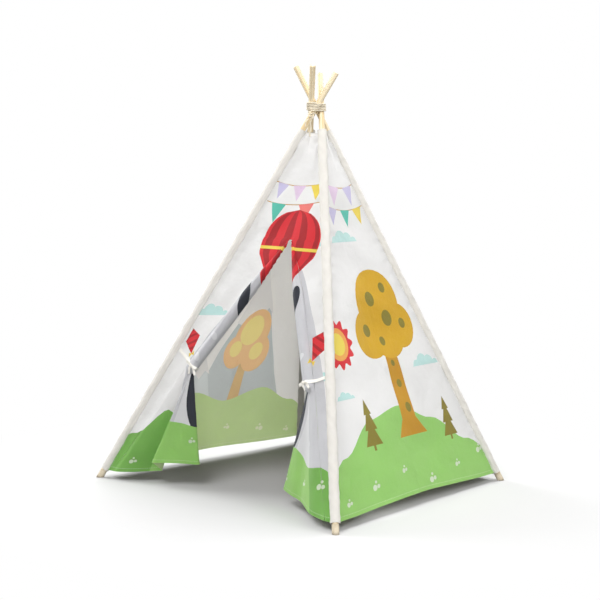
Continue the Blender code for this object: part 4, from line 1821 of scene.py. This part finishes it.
@dataclass
class RibbonTie:
    """A ribbon round a flap's roll, with its bow, knot and tails."""

    door: Door
    word: str
    degrees: float
    reach: float
    turn: float
    width: float = 0.0118
    thick: float = 0.0007
    step: float = 0.002
    twist: float = 0.12
    twist_waves: float = 17.0
    gap: float = 0.0012
    wall: float = 0.0018
    layer: float = 0.0014
    ring_start: float = 55.0
    ring_share: float = 1.62
    tail_drop: float = 0.040
    bow_height: float = 0.009
    knot_wide: float = 0.0043
    knot_deep: float = 0.0028
    knot_tall: float = 0.0048

    def __post_init__(self) -> None:
        """Work out the ribbon's own directions."""
        self.x, self.y = -self.door.across, self.door.normal
        self.z = np.cross(self.x, self.y)
        self.ring = self.door.roll_radius + self.gap

    def tape(self, name: str, path: np.ndarray, beside: np.ndarray, share: float = 1.0) -> Mesh:
        """Return a flat ribbon along a path, with flat coordinates.

        Args:
            name: Name of the mesh, without its side.
            path: Points of its middle line.
            beside: Direction across the ribbon at each point.
            share: Its share of the full width.

        Returns:
            The mesh.
        """
        across = np.linspace(-0.5, 0.5, 5)[None, :] * self.width * share
        data = grid_mesh(f"{name}_{self.word}", path[:, None] + unit(beside)[:, None] * across[..., None])
        lay_flat(data, np.stack(np.broadcast_arrays(across, run_along(path)[:, None]), axis=-1))
        return thickened(data, self.thick)

    def outer(self, layer: float) -> tuple[np.ndarray, np.ndarray, np.ndarray]:
        """Return a place outside the ring, the way out and the way along the ribbon.

        Args:
            layer: Layers of ribbon under the place.

        Returns:
            The place and both directions.
        """
        c, s = math.cos(math.radians(self.degrees)), math.sin(math.radians(self.degrees))
        away, along = self.x * c + self.y * s, self.y * c - self.x * s
        return self.door.tie + away * (self.ring + layer * self.layer), away, along

    def band(self) -> Mesh:
        """Return the ribbon from the sleeve, round the roll and back.

        Returns:
            The mesh.
        """
        door, ring, wall = self.door, self.ring, self.wall
        seam = door.panel.seam(door.sign, np.array(door.tie[2])) - door.tie
        start = np.array((seam @ self.x - 0.002, seam @ self.y + 2 * wall))
        low = np.array((ring * self.ring_share, 2 * wall))
        turns = np.radians(np.linspace(self.ring_start, 360 - self.ring_start, 48))
        round_roll = np.c_[np.cos(turns), np.sin(turns)] * ring
        first = smoothed(np.vstack((start, low, round_roll[0])), self.step)[:-1]
        back = start - (0, 2 * wall)
        last = smoothed(np.vstack((round_roll[-1], low * (1, -1), back)), self.step)[1:]
        line = np.vstack((first, round_roll, last))
        run = np.linspace(0, 1, len(line))[:, None]
        path = door.tie + line[:, :1] * self.x + line[:, 1:] * self.y
        return self.tape("tape", path, self.z + self.twist * np.sin(run * self.twist_waves) * self.y)

    def bow(self) -> Mesh:
        """Return the two loops of the bow, full and a little twisted.

        Returns:
            The mesh.
        """
        place, away, along = self.outer(1.5)
        up = np.cross(along, away)
        share = np.linspace(0, 1, 30)[:, None]
        far, rise = np.sin(HALF_TURN * share), (1 - np.cos(HALF_TURN * share)) / 2
        parts = []
        for side in (-1, 1):
            x = side * (self.reach * far + 0.0006)
            y = self.bow_height * rise * np.abs(far) ** 1.1 + self.layer * 0.9 * share
            path = place + x * along + y * away - 0.22 * np.abs(x) * (1 + 0.3 * side) * up
            twist = (up + 0.45 * side * far * away) * (0.62 + 0.38 * far)
            parts.append(self.tape("loop", path, twist, 0.82))
        return joined(f"bow_{self.word}", parts)

    def knot(self) -> Mesh:
        """Return the knot: the ribbon drawn tight over the bow's middle.

        Returns:
            The mesh.
        """
        place, away, along = self.outer(3.4)
        up = np.cross(along, away)
        turns, count = circle(28), 13
        cos, sin = (np.sign(wave) * np.abs(wave) ** 0.75 for wave in (np.cos(turns), np.sin(turns)))
        rows = []
        for share in np.linspace(-1, 1, count):
            pinch = (1 - abs(share) ** 3.2) ** 0.5 * (1 + 0.08 * np.sin(share * 9))
            middle = place + away * self.knot_deep + up * share * self.knot_tall
            wide, deep = cos * self.knot_wide * pinch, sin * self.knot_deep * pinch
            rows.append(middle + wide[:, None] * along + deep[:, None] * away)
        data = grid_mesh(f"knot_{self.word}", np.array(rows), ring=True)
        lay_flat(data, np.array([(0.001 * c, 0.001 * r) for r in range(count) for c in range(len(turns))]))
        return data

    def tails(self) -> Mesh:
        """Return the two hanging ends, slightly curled, below the knot.

        Returns:
            The mesh.
        """
        place, away, _ = self.outer(0.75)
        down = unit(-UP + away * away[2])
        side = np.cross(away, down)
        c, s = math.cos(math.radians(self.turn)), math.sin(math.radians(self.turn))
        down, side = c * down + s * np.cross(away, down), c * side + s * np.cross(away, side)
        run = np.linspace(0, 1, 20)[:, None]
        parts = []
        for sign, drop in ((1, self.tail_drop), (-1, self.tail_drop * 0.8)):
            wide = sign * (0.0015 + 0.0045 * smooth(run * 3) + drop * run * 0.16)
            rise = 0.0006 + 0.0016 * np.sin(run * 7 + sign) * run
            path = place + side * wide + down * (drop * run - 0.003) + away * rise
            parts.append(self.tape("tail", path, side + 0.35 * away * np.sin(run * 5 + 2 * sign), 0.75))
        return joined(f"tails_{self.word}", parts)

    def build(self, finishes: Finishes) -> None:
        """Make the ribbon and its bow.

        Args:
            finishes: The tent's materials.
        """
        pole = self.door.pole
        pieces, lengths = [], []
        makers = {"ribbon": self.band, "bow": self.bow, "bow_knot": self.knot, "bow_tails": self.tails}
        for node, make in makers.items():
            data = make()
            data.materials.clear()
            pieces.append(linked(f"tie_{data.name}", data, finishes.ribbon, pole.body, f"{self.word}_{node}"))
            lengths.append(sum(face.area for face in data.polygons) / 2 / self.width)
        for piece in pieces:
            self.door.panel.gather(piece, self.door.sign)
        log.info("tie_%s: %.0f mm of ribbon", self.word, sum(lengths) * 1000)


# Lashing


def twisted(name: str, path: np.ndarray, radius: float, closed: bool = False, lay: float = 0.016) -> Mesh:
    """Return a three-strand rope along a path, with painted shade in its grooves kept as a colour attribute.

    Args:
        name: Name of the mesh.
        path: Points of its middle line.
        radius: Its radius.
        closed: Whether the path closes into a ring.
        lay: Length of one turn of a strand.

    Returns:
        The mesh.
    """
    count, strands, core, bulge = len(path), 3, 0.8, 0.22
    around = np.roll(path, -1, axis=0) - np.roll(path, 1, axis=0)
    ahead = unit(around if closed else np.gradient(path, axis=0))
    side = np.zeros_like(ahead)
    guess = np.cross(ahead[0], UP)
    guess = guess if np.linalg.norm(guess) > 0.1 else np.cross(ahead[0], (1.0, 0.0, 0.0))
    for number in range(count):
        guess = unit(guess - ahead[number] * (guess @ ahead[number]))
        side[number] = guess
    over, run = np.cross(ahead, side), run_along(path)
    turns = run / lay * TURN
    if closed:
        total = run[-1] + np.linalg.norm(path[0] - path[-1])
        ends = math.atan2(float(side[-1] @ over[0]), float(side[-1] @ side[0]))
        turns = run / total * (round(total / lay) * TURN - ends)
    angle = circle(24)[None, :]
    strand = np.abs(np.cos(strands / 2 * (angle - turns[:, None])))
    reach = radius * (core + bulge * strand**0.7)
    if not closed:
        ends = np.minimum(np.arange(count), np.arange(count)[::-1])[:, None]
        reach = reach * np.where(ends == 0, 0.001, np.where(ends == 1, 0.82, 1.0))
    rim = np.cos(angle)[..., None] * side[:, None] + np.sin(angle)[..., None] * over[:, None]
    spots = path[:, None] + reach[..., None] * rim
    if closed:
        spots, strand = np.concatenate((spots, spots[:1])), np.concatenate((strand, strand[:1]))
    data = grid_mesh(name, spots, ring=True)
    # Painted shade: the ink is darker in the grooves between strands.
    tone = np.clip(strand.ravel() * 1.6, 0, 1)
    paint(data, "POINT", np.c_[tone, tone, tone, np.ones(len(tone))])
    return data


@dataclass
class Lashing:
    """The cotton rope wound round the crossing, its knot and its two loose ends."""

    poles: dict[str, PoleLine]
    rope: float = 0.0026
    knot_rope: float = 0.0023
    lay_swell: float = 1.04
    gap: float = 0.0008
    clearance: float = 0.0009
    pole_radius: float = 0.011
    turns: int = 5
    corner_turn: float = 88.0
    knot_size: float = 0.0044
    knot_points: int = 150
    winding_step: float = 0.0014
    end_step: float = 0.0012
    knot_spot: Point = (0.0150, -0.0440, -0.0340)
    knot_face: Point = (0.60, -0.80, 0.0)
    lead: Point = (-0.0085, 0.0118, -0.0032)
    lead_rise: float = 0.0030
    long_route: tuple[Point, ...] = (
        (0, -0.0158, 0), (-0.0035, -0.0300, 0.0020), (-0.0005, -0.0470, 0.0025),
        (-0.0045, -0.0640, 0.0040), (-0.0035, -0.0800, 0.0055),
    )
    short_route: tuple[Point, ...] = (
        (-0.0079, -0.0106, -0.0044), (-0.0150, -0.0160, -0.0020),
        (-0.0215, -0.0260, 0.0025), (-0.0205, -0.0420, 0.0040),
    )

    def __post_init__(self) -> None:
        """Work out the knot's own directions."""
        self.pivot = self.poles["front_right"].pivot
        self.face = unit(np.array(self.knot_face))
        self.side = np.cross(UP, self.face)
        self.centre = self.pivot + np.array(self.knot_spot)

    def knot_place(self, spot: Point) -> np.ndarray:
        """Return a point given beside, above and before the knot."""
        return self.centre + self.side * spot[0] + UP * spot[1] + self.face * spot[2]

    def winding(self) -> np.ndarray:
        """Return the rope's way from the knot round the four poles.

        Returns:
            Points of the way.
        """
        total = (2 * self.rope + self.gap) * self.turns
        order = sorted(self.poles.values(), key=lambda p: math.atan2(p.hinge[1], p.hinge[0]))
        while order[0].side != "front_left":
            order.append(order.pop(0))
        steps = 8
        count = self.turns * 4 * steps
        lead = self.knot_place(self.lead)
        places = [lead, lead + UP * self.lead_rise]
        for number in range(steps // 2, count + 1):
            pole = order[(number // steps) % 4]
            part = (number % steps) / (steps - 1)
            rise = total * (number / count - 0.5)
            spot = pole.offset * pole.hinge + pole.up * (rise / pole.up[2]) - UP * rise
            angle = math.atan2(spot[1], spot[0]) + math.radians(self.corner_turn) * (part - 0.5)
            wide = self.pole_radius / pole.up[2] + self.rope + self.clearance
            level = np.array((spot[0] + wide * math.cos(angle), spot[1] + wide * math.sin(angle), rise))
            places.append(self.pivot + level)
        return np.array(places)

    def knot_loop(self) -> np.ndarray:
        """Return the closed line of the knot.

        Returns:
            Points of the line.
        """
        t = circle(self.knot_points)[:, None]
        x, y, z = np.sin(t) + 2 * np.sin(2 * t), np.cos(t) - 2 * np.cos(2 * t), -np.sin(3 * t)
        up = np.cross(self.face, self.side)
        return self.centre + self.knot_size * (x * self.side + y * up + z * self.face)

    def tails(self, finishes: Finishes) -> None:
        """Make the two loose ends, which hang from the knot.

        Args:
            finishes: The tent's materials.
        """
        for word, route in (("long", self.long_route), ("short", self.short_route)):
            path = smoothed(np.array([self.knot_place(spot) for spot in route]), self.end_step)
            data = twisted(f"rope_end_{word}", path, self.knot_rope)
            piece = linked(data.name, data, finishes.cord, "crown", f"rope_tail_{word}")

    def build(self, finishes: Finishes) -> None:
        """Make the winding and the knot.

        Args:
            finishes: The tent's materials.
        """
        way = smoothed(self.winding(), self.winding_step)
        winding = twisted("rope_winding", way, self.rope * self.lay_swell)
        knot = twisted("rope_knot", self.knot_loop(), self.knot_rope * self.lay_swell, closed=True)
        for data, node in ((winding, "lashing_rope"), (knot, "lashing_knot")):
            linked(data.name, data, finishes.cord, "crown", node)


# Stage


@dataclass
class Studio:
    """Camera, floor, lights and background."""

    place: Point = (3.6313, -4.2332, 1.2708)
    azimuth: float = 41.1036
    down: float = 5.8138
    roll: float = 1.1621
    focal_pixels: float = 1458.0
    frame_pixels: int = 600
    sensor: float = 36.0
    floor_pale: float = 0.58
    floor_back: float = 0.26
    floor_near: float = 0.72
    floor_far: float = 1.5
    floor_radius: float = 14.0
    floor_sides: int = 64
    floor_drop: float = 0.0005
    world_light: float = 0.3
    aim: Point = (0, 0, 0.6)
    lamps: tuple[tuple[str, Point, float, float], ...] = (
        ("key", (0.4, -3.4, 4.2), 2.4, 125),
        ("front", (3.9, -4.6, 1.5), 1.8, 135),
        ("side", (4.0, 0.4, 3.6), 2.4, 112),
        ("left", (-3.8, -0.8, 3.4), 2.4, 178),
        ("top", (-0.4, 2.4, 4.4), 2.4, 180),
    )

    def camera(self) -> None:
        """Add the camera at the photograph's angle."""
        a, e, r = (math.radians(v) for v in (self.azimuth, self.down, self.roll))
        ahead = Vector((-math.sin(a) * math.cos(e), math.cos(a) * math.cos(e), -math.sin(e)))
        side = ahead.cross(Vector(UP)).normalized()
        over = side.cross(ahead) * math.cos(r) - side * math.sin(r)
        side = over.cross(-ahead).normalized()
        data = bpy.data.cameras.new("camera")
        data.sensor_width = self.sensor
        data.sensor_fit = "HORIZONTAL"
        data.lens = self.focal_pixels / self.frame_pixels * self.sensor
        eye = added("camera", data)
        turn = Matrix((side, (-ahead).cross(side), -ahead)).transposed().to_4x4()
        eye.matrix_world = Matrix.Translation(self.place) @ turn
        bpy.context.scene.camera = eye

    def floor(self) -> None:
        """Add the pale floor, which keeps the tent's shadow."""
        data = bpy.data.meshes.new("floor")
        work = bmesh.new()
        bmesh.ops.create_circle(work, cap_ends=True, segments=self.floor_sides, radius=self.floor_radius)
        work.to_mesh(data)
        work.free()
        kit = Surface("pale floor", 0.9, Specular_IOR_Level=0.0, Emission_Color=(1, 1, 1, 1))
        seen = kit.maths("MAXIMUM", *kit.rays())
        away = kit.add("VectorMath", {0: kit.place()}, "Value", operation="LENGTH")
        reach = {"Value": away, "From Min": self.floor_near, "From Max": self.floor_far}
        far = kit.add("MapRange", reach, "Result", interpolation_type="SMOOTHSTEP")
        pale = kit.mixed(seen, (*[self.floor_back] * 3, 1), (*[self.floor_pale] * 3, 1))
        kit.colour(kit.mixed(far, pale, (0, 0, 0, 1)))
        kit.give(kit.shader["Emission Strength"], kit.maths("MULTIPLY", seen, far))
        data.materials.append(kit.material)
        floor = added("floor", data)
        floor.location.z = -self.floor_drop

    def light(self, name: str, spot: Point, size: float, watts: float) -> None:
        """Add one soft square light that looks at the tent.

        Args:
            name: Its name.
            spot: Where it stands.
            size: Its width.
            watts: Its power.
        """
        data = bpy.data.lights.new(name, "AREA")
        data.size = size
        data.energy = watts
        lamp = added(name, data)
        lamp.location = spot
        lamp.rotation_euler = (Vector(self.aim) - Vector(spot)).to_track_quat("-Z", "Y").to_euler()

    def world(self) -> None:
        """Set a plain even world that shows white to the camera."""
        world = bpy.data.worlds.new("studio")
        bpy.context.scene.world = world
        kit = Nodes(world, "Background")
        ends = {"Value": kit.rays()[0], "To Min": self.world_light, "To Max": 1.0}
        kit.give(kit.shader["Strength"], kit.add("MapRange", ends, "Result"))
        kit.shader["Color"].default_value = (1, 1, 1, 1)

    def build(self) -> None:
        """Add the floor, the lights and the world."""
        self.floor()
        for lamp in self.lamps:
            self.light(*lamp)
        self.world()
        bpy.context.scene.view_settings.view_transform = "Standard"
        log.info("studio: 1 floor, %d lights", len(self.lamps))


LEFT_HEM = (
    (-0.505, -0.536, 0.033), (-0.452, -0.507, 0.036), (-0.402, -0.458, 0.040), (-0.381, -0.430, 0.041),
    (-0.370, -0.434, 0.045), (-0.351, -0.494, 0.084), (-0.348, -0.506, 0.088), (-0.336, -0.500, 0.089),
    (-0.280, -0.446, 0.088), (-0.218, -0.404, 0.086), (-0.210, -0.393, 0.086), (-0.222, -0.384, 0.086),
    (-0.300, -0.395, 0.084),
)
RIGHT_HEM = (
    (0.440, -0.505, 0.036), (0.330, -0.425, 0.044), (0.260, -0.398, 0.050), (0.196, -0.362, 0.054),
    (0.190, -0.354, 0.054), (0.200, -0.346, 0.054), (0.236, -0.352, 0.055),
)


def main() -> None:
    """Build the camera and the cords first, then every piece of the tent."""
    logging.basicConfig(level=logging.INFO, format="%(message)s")
    studio = Studio()
    studio.camera()
    poles = pole_lines()
    finishes = Finishes.build()
    lashing = Lashing(poles)
    lashing.tails(finishes)
    lashing.build(finishes)
    for number, line in enumerate(poles.values()):
        JointedPole(line, number).build(finishes)
    walls = (
        ("right", "front_right", "back_right", right_print, 1.3, 0.280, 0.015),
        ("back", "back_right", "back_left", back_print, 4.1, 0.287, 0.027),
        ("left", "back_left", "front_left", left_print, 7.9, 0.278, 0.036),
    )
    for name, left, right, drawn, seed, keep, lean in walls:
        panel = Panel(name, poles[left], poles[right], keep=keep, lean=lean)
        ClosedWall(panel, drawn(), seed).build(finishes)
    panel = Panel("front", poles["front_left"], poles["front_right"])
    left, right = Door(panel, -1, LEFT_HEM), Door(panel, 1, RIGHT_HEM)
    FrontWall(panel, (left, right), front_print()).build(finishes)
    for tie in (RibbonTie(left, "left", 112, 0.024, 8), RibbonTie(right, "right", 104, 0.0192, 50)):
        tie.build(finishes)
    studio.build()


if __name__ == "__main__":
    main()
